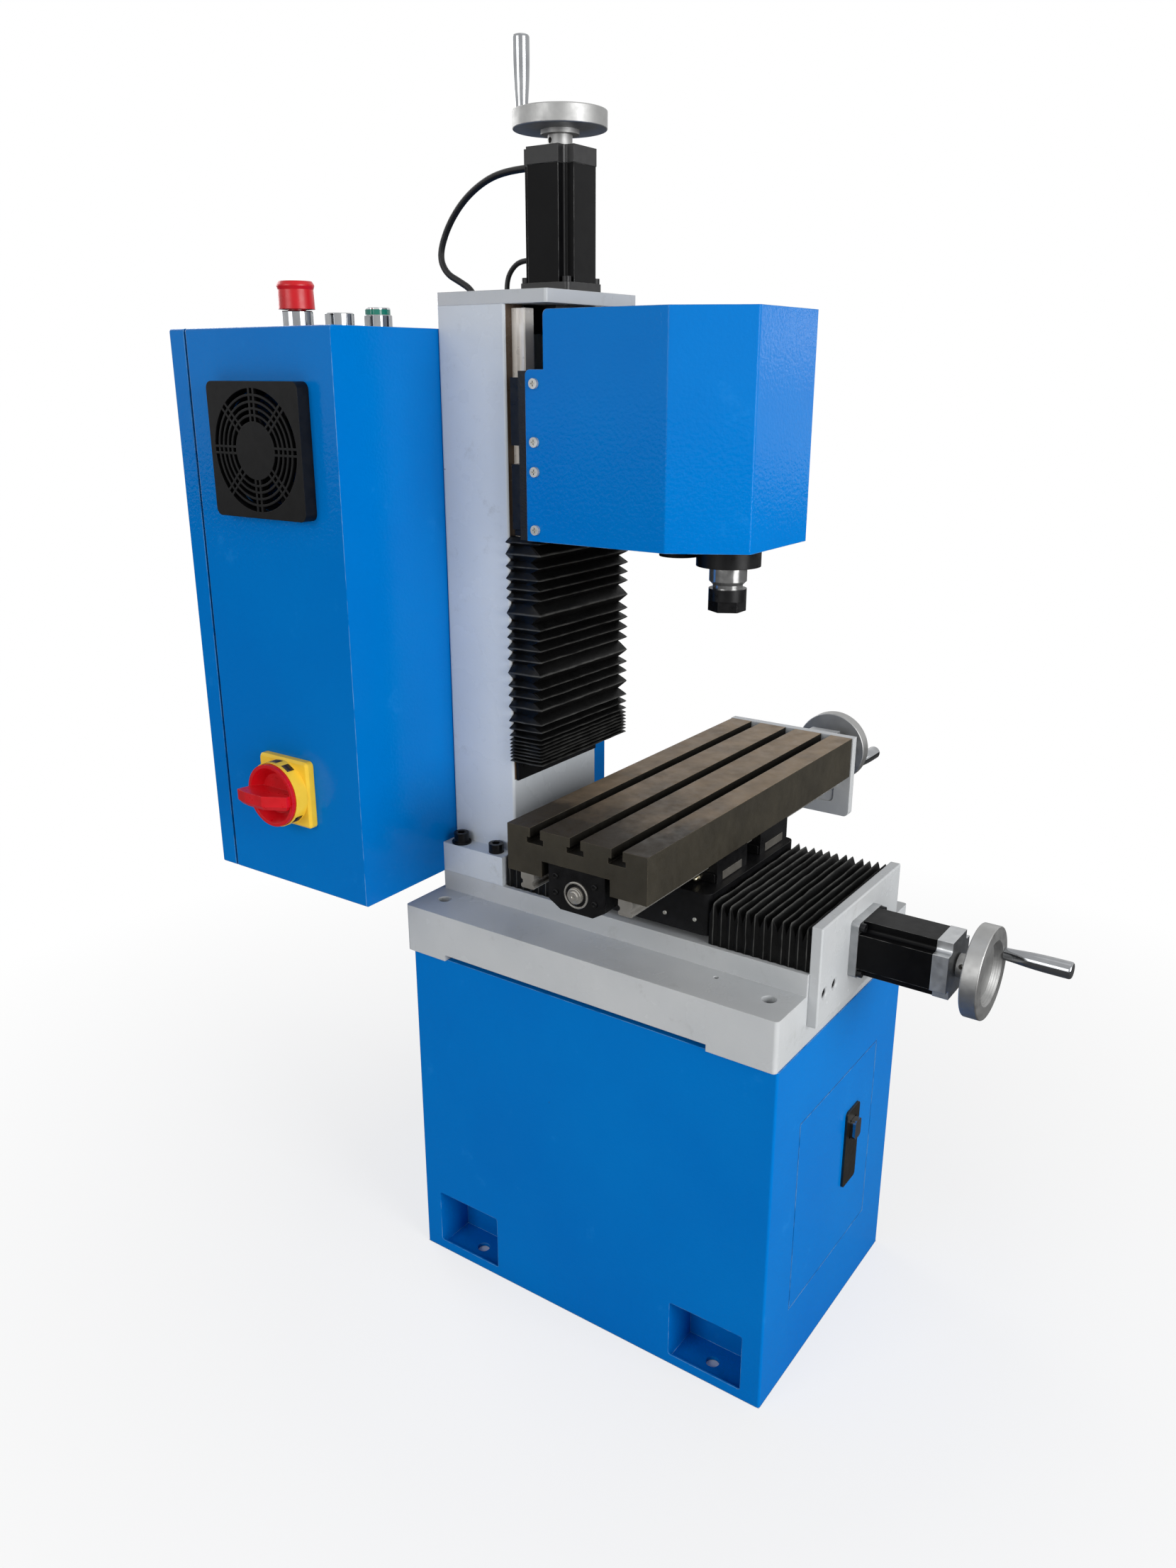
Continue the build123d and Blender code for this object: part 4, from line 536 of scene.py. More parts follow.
class Paints:
    """The machine's finishes, with their numbers in the order of Finish: drift, rough, grain, relief, metallic."""

    # Powder coat baked on sheet steel: an even deep blue, a thin gloss, orange peel drawn coarser than it is, and
    # pale blue edges of wear and painted highlight
    BLUE = PowderCoat("blue powder coat", "#006FC2", "#0074C6", 180.0, (0.06, 0.11), 3.5, 0.08, shine=0.1,
                      edge_mm=1.4, edge_wear_and_highlight="#8FC3EA")
    # Enamel brushed over castings: pale, with broad soft highlights, a little grime and lighter edges of rubbing
    # and painted highlight
    GREY = CastEnamel("grey enamel over castings", "#BBBEC0", "#C5C7C8", 120.0, (0.18, 0.3), 3.0, 0.05, shine=0.26,
                      edge_mm=1.2, edge_wear_and_highlight="#E2E3E4")
    # The same enamel in a bluer batch, round a machined face of dull brown iron
    COLUMN = BareFacedEnamel("grey enamel with bare iron face", "#CDD3D9", "#D4D9DE", 140.0, (0.2, 0.32), 3.0, 0.06,
                             shine=0.3, edge_mm=1.2)
    # Milled iron under old oil: brown, blotched and nearly matt, with painted shade in its slots
    TABLE = StainedIron("stained milled iron", "#7C6B56", "#937F67", 26.0, (0.4, 0.6), 0.9, 0.12, shine=0.2,
                        edge_mm=0.8, edge_wear_and_highlight="#6F6656")
    # Steel blackened in a hot bath: a dark satin that lightens at a glancing angle
    OXIDE = Finish("black oxide steel", "#0C0C0D", "#131315", 22.0, (0.26, 0.44), 0.8, 0.08, 0.2, shine=0.3,
                   edge_mm=0.6)
    # Ground steel under a black coat: as dark, and a little smoother
    CARRIAGE = Finish("black coated carriage steel", "#0A0A0B", "#111112", 18.0, (0.26, 0.42), 0.7, 0.08, 0.1,
                      shine=0.3)
    # The same steel where the coat is ground off: dull warm grey
    STRIP = Finish("worn carriage side", "#6E6B65", "#5B5852", 12.0, (0.4, 0.55), 0.6, 0.03, 0.5)
    # Enamel on the head's iron: flat black with the casting's grain
    HEAD_IRON = CastEnamel("black enamel over iron", "#0C0C0D", "#121213", 40.0, (0.35, 0.5), 2.0, 0.12, shine=0.3,
                           grime="#1E1D1A")
    # Rail steel ground lengthwise: a near-white tone with little metal, a painted reflection of a bright room
    RAIL_PAINTED_BRIGHT = BrushedMetal("ground rail steel painted bright", "#F2EEE8", "#DAD3CA", 40.0, (0.24, 0.38), 0.6, 0.05, 0.15)
    # The same steel under oil: darker, with sharper reflections
    OILED = BrushedMetal("oiled rail steel", "#B8B5AF", "#A29E97", 30.0, (0.16, 0.3), 0.6, 0.05, 0.7, marks=Way.X)
    # Steel polished on the spindle: clear reflections, drawn out a little
    POLISHED = BrushedMetal("polished spindle steel", "#C4C4C3", "#ACACAB", 20.0, (0.12, 0.22), 0.5, 0.03, 0.85)
    # Enamel sprayed on the motors: deep black, chips down to pale metal, and pale edges of wear and painted
    # highlight
    MOTOR = CastEnamel("black motor enamel", "#060607", "#0A0A0B", 30.0, (0.32, 0.42), 1.2, 0.04, shine=0.1,
                       edge_mm=0.8, edge_wear_and_highlight="#B4B4B1", grime="#121213", chip="#D6D6D3")
    # Die-cast aluminium on the Y motor: soft grey metal; black enamel over it on the Z motor, above one metre
    CAPS = BandedMetal("die-cast motor caps", "#A9ABAD", "#BDBFC0", 18.0, (0.36, 0.48), 0.7, 0.08, 1.0, edge_mm=0.7)
    # The same casting, bare: soft grey metal with a fine grain
    CAST = Finish("die-cast aluminium", "#A9ABAD", "#BDBFC0", 18.0, (0.36, 0.48), 0.7, 0.08, 1.0, edge_mm=0.7)
    # Chrome plate on turned steel: mirror bright, light and dark in stripes
    CHROME = Finish("bright chrome plate", "#A0A2A4", "#8C8E91", 25.0, (0.05, 0.12), 0.6, 0.01, 1.0)
    # Coated cloth in pleats: black and nearly matt, grey on the crests from rubbing and a painted highlight; its
    # weave is drawn coarser than it is
    BELLOWS = FoldedCloth("coated bellows cloth", "#060606", "#0B0B0B", 16.0, (0.38, 0.54), 0.7, 0.1, shine=0.14)
    # Plastic moulded in a grained tool: matt black
    MOULDING = Finish("matt black moulding", "#0A0A0B", "#101011", 12.0, (0.36, 0.5), 0.5, 0.1, shine=0.18,
                      edge_mm=0.7)
    # Soft jacket drawn over the wires: satin black
    JACKET = Finish("black cable jacket", "#0D0D0E", "#141416", 10.0, (0.36, 0.5), 0.8, 0.08, shine=0.35)
    # Plastic moulded in a smooth tool: even warm yellow with a soft highlight
    YELLOW = Finish("yellow moulding", "#F8CE3E", "#F2C434", 20.0, (0.3, 0.42), 0.6, 0.04, shine=0.4, edge_mm=0.6)
    # The same in red, a little glossier
    RED = Finish("red moulding", "#D00C1B", "#C20A16", 16.0, (0.26, 0.38), 0.6, 0.04, shine=0.4, edge_mm=0.6)
    # Chrome cap with a ring of green lens: bright metal round a dark green stripe
    LENS = BandedMetal("chrome cap with green lens", "#CFD0D1", "#C0C1C3", 20.0, (0.08, 0.16), 0.6, 0.01, 1.0,
                       cover="#0E8A72", low_mm=1022.0, high_mm=1029.4)
    # Stainless brushed upright and darkened: brown-grey with long soft streaks
    LATCH = BrushedMetal("dark brushed stainless", "#55524A", "#47443E", 20.0, (0.3, 0.42), 0.5, 0.1, 1.0,
                         edge_mm=0.6)
    # Zinc plated on sheet and screws: pale, slightly cloudy metal, only partly metallic, so its pale tone also
    # paints the screw heads' bright reflections
    ZINC = Finish("bright zinc plate", "#CFCFC9", "#BDBCB5", 14.0, (0.28, 0.42), 0.8, 0.06, 0.6)
    # Brass turned and plated: pale warm metal
    BRASS = Finish("plated brass", "#C4BDA6", "#AFA78F", 8.0, (0.2, 0.3), 0.5, 0.04, 1.0)
    # Painted shade in the switch's windows: the knob's moulded plastic, dark red-brown as it looks in shade
    WINDOW_SHADE = Finish("shadowed window", "#24140F", "#1A0F0C", 6.0, (0.4, 0.5), 0.5, 0.04)


@dataclass
class Surface:
    """Points in millimetres and the four-sided faces between them."""

    points: np.ndarray
    quads: np.ndarray

    @staticmethod
    def grid(points: np.ndarray, closed: bool = False) -> "Surface":
        """Join a grid of points into faces.

        Args:
            points: Rows by columns by three.
            closed: Whether the last column meets the first.

        Returns:
            The surface.
        """
        rows, columns = points.shape[:2]
        row, column = np.meshgrid(np.arange(rows - 1), np.arange(columns - (not closed)), indexing="ij")
        following = (column + 1) % columns
        corners = (row * columns + column, row * columns + following,
                   (row + 1) * columns + following, (row + 1) * columns + column)
        return Surface(points.reshape(-1, 3), np.stack(corners, -1).reshape(-1, 4))

    @staticmethod
    def turned(profile: Profile, origin: Point, axis: np.ndarray, key: float = 0.0, steps: int = 48) -> "Surface":
        """Turn a profile about an axis, with a hexagon in place of the circle where the radius equals the key.

        The point at angle a is the origin plus r (cos a, sin a) across the axis plus h along it. A hexagon's
        radius is its flat radius over the cosine of the angle from the nearest flat.

        Args:
            profile: Radius and height of each ring.
            origin: Where the height is zero.
            axis: Unit vector of the axis.
            key: Flat radius of a hexagon key, or zero.
            steps: Points in a ring.

        Returns:
            The surface.
        """
        side = np.roll(np.abs(axis), 1)
        other = np.cross(axis, side)
        angle = np.linspace(0.0, 2 * np.pi, steps, endpoint=False)
        hexagon = 1.0 / np.cos((angle + np.pi / 6) % (np.pi / 3) - np.pi / 6)
        ring = np.cos(angle)[:, None] * side + np.sin(angle)[:, None] * other
        radius, height = np.array(profile, float).T
        stretch = np.where(np.isclose(radius, key)[:, None] & (key > 0), hexagon[None, :], 1.0)
        points = np.array(origin) + (radius[:, None] * stretch)[..., None] * ring + height[:, None, None] * axis
        return Surface.grid(points, closed=True)

    @staticmethod
    def slab(centre: Point, size: Point, corner: float, edge: float, axis: Way, steps: int = 32) -> "Surface":
        """Make a plate with rounded corners and bevelled edges.

        The outline is a rectangle whose corners are quarter circles, carried along the axis: drawn in by the edge
        at both faces, and to its middle at both ends.

        Args:
            centre: Middle of the plate.
            size: Sizes along X, Y and Z.
            corner: Radius of the outline's corners.
            edge: Bevel of the faces' edges.
            axis: The way of the plate's thickness.
            steps: Points in the outline.

        Returns:
            The surface.
        """
        first, second = [w for w in Way if w is not axis]
        angle = np.linspace(0.0, 2 * np.pi, steps, endpoint=False) + np.pi / steps
        half_a, half_b = size[first.value] / 2, size[second.value] / 2
        reach = np.array([0.0, -edge, 0.0, 0.0, -edge, 0.0])
        level = np.array([-0.5, -0.5, -0.5, 0.5, 0.5, 0.5]) * size[axis.value]
        level += np.array([0.0, 0.0, edge, -edge, 0.0, 0.0])
        open_rows = np.array([0.0, 1.0, 1.0, 1.0, 1.0, 0.0])
        across = np.sign(np.cos(angle)) * (half_a - corner) + corner * np.cos(angle)
        along = np.sign(np.sin(angle)) * (half_b - corner) + corner * np.sin(angle)
        shrink_a = (1.0 + reach[:, None] / half_a) * open_rows[:, None]
        shrink_b = (1.0 + reach[:, None] / half_b) * open_rows[:, None]
        points = (np.array(centre) + (across * shrink_a)[..., None] * first.unit
                  + (along * shrink_b)[..., None] * second.unit + level[:, None, None] * axis.unit)
        return Surface.grid(points, closed=True)

    @staticmethod
    def joined(surfaces: Sequence["Surface"]) -> "Surface":
        """Join several surfaces into one.

        Args:
            surfaces: The surfaces.

        Returns:
            One surface with all their points and faces, in order.
        """
        starts = np.cumsum([0] + [len(s.points) for s in surfaces[:-1]])
        return Surface(np.concatenate([s.points for s in surfaces]),
                       np.concatenate([s.quads + start for s, start in zip(surfaces, starts)]))

    def piece(self, name: str, finish: Finish, slot: str, smooth_deg: float = 35.0) -> bpy.types.Object:
        """Make a mesh object with its poles merged and its faces outwards.

        Args:
            name: The piece's name.
            finish: Its finish.
            slot: Name of a material slot; not used.
            smooth_deg: Edges flatter than this are shaded smooth.

        Returns:
            The object, which still has to ride on a body.
        """
        mesh = bpy.data.meshes.new(name)
        mesh.from_pydata((self.points * MM).tolist(), [], self.quads.tolist())
        work = bmesh.new()
        work.from_mesh(mesh)
        bmesh.ops.remove_doubles(work, verts=work.verts, dist=1e-7)
        bmesh.ops.recalc_face_normals(work, faces=work.faces)
        work.to_mesh(mesh)
        work.free()
        mesh.shade_smooth()
        mesh.set_sharp_from_angle(angle=math.radians(smooth_deg))
        mesh.materials.append(finish.build())
        made = new_object(name, mesh)
        LOG.info("piece %s: %d faces", name, len(mesh.polygons))
        return made


def thicken(piece: bpy.types.Object, wall_mm: float) -> None:
    """Give a sheet its thickness, half to each side.

    Args:
        piece: The sheet.
        wall_mm: Its thickness.
    """
    wall = piece.modifiers.new("wall", "SOLIDIFY")
    wall.thickness = wall_mm * MM
    wall.offset = 0.0


class NodeFinishes:
    """Gives each solid of the frame its finish."""

    PLAN: Mapping[Finish, tuple[str, ...]] = {
        Paints.BLUE: ("cabinet_shell", "cabinet_door", "box_shell", "box_door", "head_cover"),
        Paints.GREY: ("base_casting", "column_top_plate", "y_motor_plate", "x_end_plate"),
        Paints.COLUMN: ("column",),
        Paints.TABLE: ("table",),
        Paints.OXIDE: ("saddle", "saddle_ballnuts", "x_bearing_blocks", "screw_bearing_blocks", "spindle_housing",
                       "fixed_fasteners", "collet_nut"),
        Paints.CARRIAGE: ("saddle_carriages", "z_slide_blocks"),
        Paints.HEAD_IRON: ("head_casting",),
        Paints.RAIL_PAINTED_BRIGHT: ("fixed_rails", "collet", "motor_pulley"),
        Paints.OILED: ("x_rails", "x_screw", "y_screw", "z_screw"),
        Paints.POLISHED: ("spindle",),
        Paints.MOTOR: ("fixed_motor_bodies", "x_motor_body", "spindle_motor"),
        Paints.CAPS: ("fixed_motor_caps",),
        Paints.CAST: ("x_motor_caps",),
        Paints.CHROME: ("x_handle", "y_handle", "z_handle", "button_bezels", "stop_button", "latch_button"),
        Paints.MOULDING: ("fan_guard", "fan_frame", "fan_rotor", "control_units", "cable_glands"),
        Paints.JACKET: ("belt",),
        Paints.YELLOW: ("switch_plate",),
        Paints.RED: ("switch_knob", "estop_cap"),
        Paints.LENS: ("start_button",),
        Paints.LATCH: ("latch_plate",),
        Paints.ZINC: ("box_mounting_plate", "cover_screws"),
    }
    WHEELS: Mapping[str, tuple[Point, Way]] = {
        "x_handwheel": ((0.0, -30.0, 522.0), Way.X),
        "y_handwheel": ((0.0, 0.0, 455.0), Way.Y),
        "z_handwheel": ((0.0, 124.0, 0.0), Way.Z),
    }

    def dress(self) -> None:
        """Put each finish on its nodes, and turned aluminium on the three handwheels."""
        for finish, nodes in self.PLAN.items():
            for node in nodes:
                self.put(node, finish)
        for node, (centre, axis) in self.WHEELS.items():
            # Cast aluminium turned on a lathe: soft grey metal, with rings about each wheel's own axis
            self.put(node, TurnedMetal(f"turned aluminium {node}", "#9A9A99", "#A6A6A5", 20.0, (0.46, 0.58), 1.1,
                                       0.05, 1.0, centre_mm=centre, axis=axis))

    @staticmethod
    def put(node: str, finish: Finish) -> None:
        """Give one node one finish.

        Args:
            node: The solid's name.
            finish: Its finish.
        """
        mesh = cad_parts[node].data
        mesh.materials.clear()
        mesh.materials.append(finish.build())
        LOG.info("node %s: %s", node, finish.name)


@dataclass
class Bellows:
    """A folded cover: pleats along one way, with a crown face, two side flaps and folded corners.

    Attributes:
        name: The piece's name.
        node: The solid that it stands for, or nothing.
        fixed: Body at the still end; not used.
        moving: Body at the other end; not used.
        travel: The way that it stretches.
        depth: The way from its hem to its crown.
        ends: Where it starts and ends along its travel.
        pleats: Widths of the pleats from the still end, as shares of each other.
        half: Half width at the hem, at the crests and in the folds.
        front_half: Half width at the crown face, at the crests and in the folds.
        crown: Level of the crown face at the crests and in the folds.
        hem: Level of the flaps' hems.
        corner: Size of the folded corner at the crests and in the folds.
        seed: Seed of the small differences between pleats.
        rows_per_fold: Faces between a fold and a crest.
        spans: Faces across a flap, a corner, the crown, a corner and a flap.
        cloth_mm: Thickness of the cloth.
        uneven: How far a crest leaves the middle of its pleat, as a share of the pleat.
        wave_mm: Height of the waves in the cloth.
        least_reach: Width of the narrowest pleats, as a share of the usual one.
        shy: How much less a pleat of no width would stand out.
        tight: Pleats narrower than this share don't fold all the way in.
        held_open: How far the folds of those stay from closing.
        crest_power: How narrow the pale line on a crest is, which paints rubbing and a highlight.
        width_power: How fast that line widens on narrow pleats.
    """

    name: str
    node: str
    fixed: str
    moving: str
    travel: Way
    depth: Way
    ends: tuple[float, float]
    pleats: np.ndarray
    half: tuple[float, float]
    front_half: tuple[float, float]
    crown: tuple[float, float]
    hem: float
    corner: tuple[float, float]
    seed: int
    rows_per_fold: int = 6
    spans: tuple[int, ...] = (4, 2, 14, 2, 4)
    cloth_mm: float = 1.0
    uneven: float = 0.06
    wave_mm: float = 0.35
    least_reach: float = 0.4
    shy: float = 0.06
    tight: float = 0.6
    held_open: float = 0.1
    crest_power: float = 16.0
    width_power: float = 1.3

    def rows(self, draw: np.random.Generator) -> tuple[np.ndarray, np.ndarray, np.ndarray, np.ndarray]:
        """Lay out the rows of points along the travel.

        The crest share goes in straight lines from zero in a fold to one on a crest and back. Narrow pleats stand
        out a little less and don't fold all the way in. The pale line of rubbing and painted highlight is the crest
        share to a high power.

        Args:
            draw: Seeded source of the small differences.

        Returns:
            For each row its number in folds, its crest share, its place and its rubbing with painted highlight.
        """
        bounds = np.concatenate([[0.0], np.cumsum(self.pleats)]) / np.sum(self.pleats)
        widths = np.diff(bounds)
        stations = np.empty(2 * len(widths) + 1)
        stations[0::2] = bounds
        stations[1::2] = (bounds[:-1] + bounds[1:]) / 2 + draw.normal(0.0, self.uneven, len(widths)) * widths
        reach = np.clip(widths / np.median(widths), self.least_reach, 1.0)
        crest = np.zeros_like(stations)
        crest[1::2] = 1.0 - self.shy + self.shy * reach
        crest[2:-1:2] = np.where(reach[1:] < self.tight, self.held_open, 0.0)
        row = np.arange(2 * len(widths) * self.rows_per_fold + 1) / self.rows_per_fold
        index = np.arange(len(stations))
        share = np.interp(row, index, crest)
        along = self.ends[0] + np.interp(row, index, stations) * (self.ends[1] - self.ends[0])
        power = self.crest_power * np.interp(row, index[1::2], reach) ** self.width_power
        return row, share, along, share ** power

    def surface(self) -> tuple[Surface, np.ndarray]:
        """Work out the folded sheet.

        Half width, crown level and corner size are mixed by the crest share of each row. The section is the line
        from hem to corner to crown and back down, with small seeded waves that fade at the hems and the ends.

        Returns:
            The sheet, and how rubbed and highlit each of its points is.
        """
        draw = np.random.default_rng(self.seed)
        row, share, along, rubbed = self.rows(draw)
        away = np.sign(self.hem - self.crown[0])
        half, front, crown, corner = (folded + share * (crested - folded) for crested, folded in (
            self.half, self.front_half, self.crown, self.corner))
        hems = np.full_like(half, self.hem)
        across = np.stack([-half, -front, -front + corner, front - corner, front, half], 1)
        deep = np.stack([hems, crown + away * corner, crown, crown, crown + away * corner, hems], 1)
        knots = np.arange(len(self.spans) + 1)
        columns = np.concatenate([[0.0]] + [np.linspace(i, i + 1, n + 1)[1:] for i, n in enumerate(self.spans)])
        weights = np.stack([np.interp(columns, knots, unit) for unit in np.eye(len(knots))])
        waves = draw.normal(0.0, 1.0, (len(row) // self.rows_per_fold + 2, len(columns)))
        wave = np.stack([np.interp(row, np.arange(len(waves)), column) for column in waves.T], 1)
        loose = (columns > knots[0]) & (columns < knots[-1])
        flank = (columns <= knots[2]) | (columns >= knots[3])
        ripple = self.wave_mm * wave * loose * np.minimum(1.0, np.minimum(row, row[::-1]))[:, None]
        across = across @ weights + ripple * flank
        deep = deep @ weights + ripple
        points = (across[..., None] * Way.X.unit + deep[..., None] * self.depth.unit
                  + along[:, None, None] * self.travel.unit)
        return Surface.grid(points), np.repeat(rubbed, len(columns))

    def build(self) -> None:
        """Make the piece and mark its crests."""
        sheet, marks = self.surface()
        piece = sheet.piece(self.name, Paints.BELLOWS, "bellows_cloth", smooth_deg=20.0)
        crest = piece.data.attributes.new("crest", "FLOAT", "POINT")
        crest.data.foreach_set("value", marks.astype(np.float32))
        thicken(piece, self.cloth_mm)
        if self.node:
            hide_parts(self.node)
        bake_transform(piece)


@dataclass
class Cable:
    """A cable of the Z motor, from its strain relief to where it enters the machine again.

    Attributes:
        name: The piece's name.
        node: The solid that it stands for.
        radius_mm: Radius of its jacket.
        route_mm: Points that its line follows.
    """

    name: str
    node: str
    radius_mm: float
    route_mm: Sequence[Point]

    def line(self) -> bpy.types.Curve:
        """Draw one open spline with the route's points as its control points.

        Returns:
            The curve, with no thickness yet.
        """
        curve = bpy.data.curves.new(self.name, "CURVE")
        curve.dimensions = "3D"
        spline = curve.splines.new("NURBS")
        spline.points.add(len(self.route_mm) - 1)
        points = np.ones((len(self.route_mm), 4))
        points[:, :3] = np.array(self.route_mm) * MM
        spline.points.foreach_set("co", points.ravel())
        spline.order_u = 3
        spline.use_endpoint_u = True
        spline.resolution_u = 16
        return curve

    def length(self, curve: bpy.types.Curve) -> float:
        """Measure the curve's own line.

        Args:
            curve: The curve, with no thickness yet.

        Returns:
            Its length in metres.
        """
        probe = bpy.data.objects.new(self.name + "_line", curve)
        mesh = bpy.data.meshes.new_from_object(probe)
        line = np.empty(3 * len(mesh.vertices))
        mesh.vertices.foreach_get("co", line)
        bpy.data.objects.remove(probe)
        bpy.data.meshes.remove(mesh)
        return float(np.linalg.norm(np.diff(line.reshape(-1, 3), axis=0), axis=1).sum())

    def build(self) -> None:
        """Make the cable as a round tube on its curve, and say how long it is."""
        curve = self.line()
        length = self.length(curve)
        curve.bevel_depth = self.radius_mm * MM
        curve.bevel_resolution = 5
        curve.materials.append(Paints.JACKET.build())
        cable = new_object(self.name, curve)
        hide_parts(self.node)
        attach(cable, "frame")
        LOG.info("cable %s: %.3f m", self.name, length)


@dataclass
class ScrewHeads:
    """Heads of socket cap screws of one size, on one body.

    Attributes:
        name: The piece's name.
        body: The body that it rides on.
        finish: Its finish.
        slot: Name of its material slot.
        seats_mm: Middle of each head's foot.
        axis: Unit vector from foot to top.
        radius_mm: Radius of a head.
        height_mm: Height of a head.
        key_mm: Flat radius of its hexagon socket.
        rim_share: Bevel of its rim, as a share of its radius.
        floor_share: Level of the socket's floor, as a share of its height.
    """

    name: str
    body: str
    finish: Finish
    slot: str
    seats_mm: Sequence[Point]
    axis: np.ndarray
    radius_mm: float
    height_mm: float
    key_mm: float
    rim_share: float = 0.12
    floor_share: float = 0.45

    def build(self) -> None:
        """Turn each head with its bevelled rim and its socket, and let them ride on the body."""
        radius, height, key = self.radius_mm, self.height_mm, self.key_mm
        rim, floor = self.rim_share * radius, self.floor_share * height
        profile = ((0.0, floor), (key, floor), (key, height), (radius - rim, height), (radius, height - rim),
                   (radius, 0.0), (0.0, 0.0))
        heads = [Surface.turned(profile, seat, self.axis, key) for seat in self.seats_mm]
        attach(Surface.joined(heads).piece(self.name, self.finish, self.slot), self.body)


@dataclass
class CarriageTrim:
    """End seals, ground side strips and grease nipples of the carriages under the table.

    Attributes:
        rows_mm: Middles of the two X rails along Y.
        middle_mm: Middle between them.
        places_mm: Middles of the carriages along X.
        length_mm: Length of a carriage.
        level_mm: Middle of the seals and strips along Z.
        seal_mm: Sizes of a seal.
        strip_mm: Sizes of a strip.
        strip_out_mm: From a rail's middle out to its strip.
        nipple_level_mm: Axis of the nipples along Z.
        nipple_mm: Profile of a nipple.
    """

    rows_mm: tuple[float, float] = (-84.0, 24.0)
    middle_mm: float = -30.0
    places_mm: tuple[float, float] = (-31.0, 59.0)
    length_mm: float = 61.4
    level_mm: float = 508.2
    seal_mm: Point = (1.6, 31.0, 9.6)
    strip_mm: Point = (39.0, 0.5, 8.6)
    strip_out_mm: float = 17.204
    nipple_level_mm: float = 508.4
    nipple_mm: Profile = ((0.0, 13.0), (1.6, 12.4), (2.4, 10.6), (1.5, 9.0), (1.5, 7.5), (3.4, 6.4), (3.4, 3.2),
                          (2.2, 2.6), (2.2, 0.0), (0.0, 0.0))

    def build(self) -> None:
        """Make the three kinds of trim and let them ride on the saddle."""
        seals, strips, nipples = [], [], []
        wall = self.seal_mm[0]
        tip = self.places_mm[0] - self.length_mm / 2 - wall
        for row in self.rows_mm:
            outer = row + math.copysign(self.strip_out_mm, row - self.middle_mm)
            for place in self.places_mm:
                for way in (-1, 1):
                    end = place + way * (self.length_mm + wall) / 2
                    seals.append(Surface.slab((end, row, self.level_mm), self.seal_mm, corner=1.5, edge=0.3,
                                              axis=Way.X))
                strips.append(Surface.slab((place, outer, self.level_mm), self.strip_mm, corner=0.5, edge=0.12,
                                           axis=Way.Y))
            nipples.append(Surface.turned(self.nipple_mm, (tip, row, self.nipple_level_mm), -Way.X.unit, steps=24))
        for name, parts, finish, slot in (
            ("carriage_seals", seals, Paints.MOULDING, "black_plastic"),
            ("carriage_strips", strips, Paints.STRIP, "rail_steel"),
            ("grease_nipples", nipples, Paints.BRASS, "polished_chrome"),
        ):
            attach(Surface.joined(parts).piece(name, finish, slot), "saddle")


@dataclass
class ScrewEndTrim:
    """The left bearing of the X screw: its ring, its four screws, and the nut on the screw's own end.

    Attributes:
        face_mm: The bearing block's left face.
        axis_mm: The screw's axis along Y and Z.
        screws_mm: Place along Y of each screw, and its height over the axis.
        ring_mm: Profile of the ring.
        nut_mm: Profile of the nut.
        nut_out_mm: From the block's face out to the nut.
    """

    face_mm: float = -195.0
    axis_mm: tuple[float, float] = (-30.0, 522.0)
    screws_mm: tuple[tuple[float, float], ...] = ((-7.0, 13.5), (-7.0, -2.5), (-50.0, 12.3), (-50.0, -4.2))
    ring_mm: Profile = ((11.2, 0.0), (11.2, 1.2), (11.5, 1.5), (12.6, 1.5), (13.0, 1.1), (13.0, 0.0))
    nut_mm: Profile = ((0.0, 2.4), (1.4, 2.4), (1.9, 3.4), (4.4, 3.4), (5.0, 2.8), (5.0, 2.2), (7.0, 2.2),
                       (7.5, 1.7), (7.5, 0.0), (0.0, 0.0))
    nut_out_mm: float = 2.0

    def build(self) -> None:
        """Make the ring and screws for the table and the nut for the screw."""
        y, z = self.axis_mm
        left = -Way.X.unit
        ring = Surface.turned(self.ring_mm, (self.face_mm, y, z), left)
        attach(ring.piece("x_bearing_ring", Paints.OILED, "rail_steel"), "table")
        seats = [(self.face_mm, place, z + rise) for place, rise in self.screws_mm]
        ScrewHeads("x_bearing_screws", "table", Paints.OXIDE, "black_steel", seats, left, radius_mm=2.9,
                   height_mm=1.6, key_mm=1.5).build()
        nut = Surface.turned(self.nut_mm, (self.face_mm - self.nut_out_mm, y, z), left)
        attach(nut.piece("x_screw_end", Paints.OILED, "rail_steel"), "x_screw")


@dataclass
class HeadWipers:
    """Wipers round the Z rails, below the head's two lower carriages.

    Attributes:
        rails_mm: Middles of the rails along X.
        middle_mm: Middle of a wiper along Y.
        width_mm: Its size along X.
        depth_mm: Its size along Y.
        bottom_mm: Its lower end.
        gap_mm: From its upper end to the carriage.
    """

    rails_mm: tuple[float, float] = (-57.0, 57.0)
    middle_mm: float = 118.2
    width_mm: float = 32.0
    depth_mm: float = 22.4
    bottom_mm: float = 818.9
    gap_mm: float = 0.1

    def build(self) -> None:
        """Make both wipers up to the carriages' lower ends and let them ride on the head."""
        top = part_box("z_slide_blocks")[0][2] / MM - self.gap_mm
        middle, height = (top + self.bottom_mm) / 2, top - self.bottom_mm
        size = (self.width_mm, self.depth_mm, height)
        wipers = [Surface.slab((x, self.middle_mm, middle), size, corner=2.0, edge=0.6, axis=Way.Z)
                  for x in self.rails_mm]
        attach(Surface.joined(wipers).piece("head_wipers", Paints.MOULDING, "black_plastic"), "head")


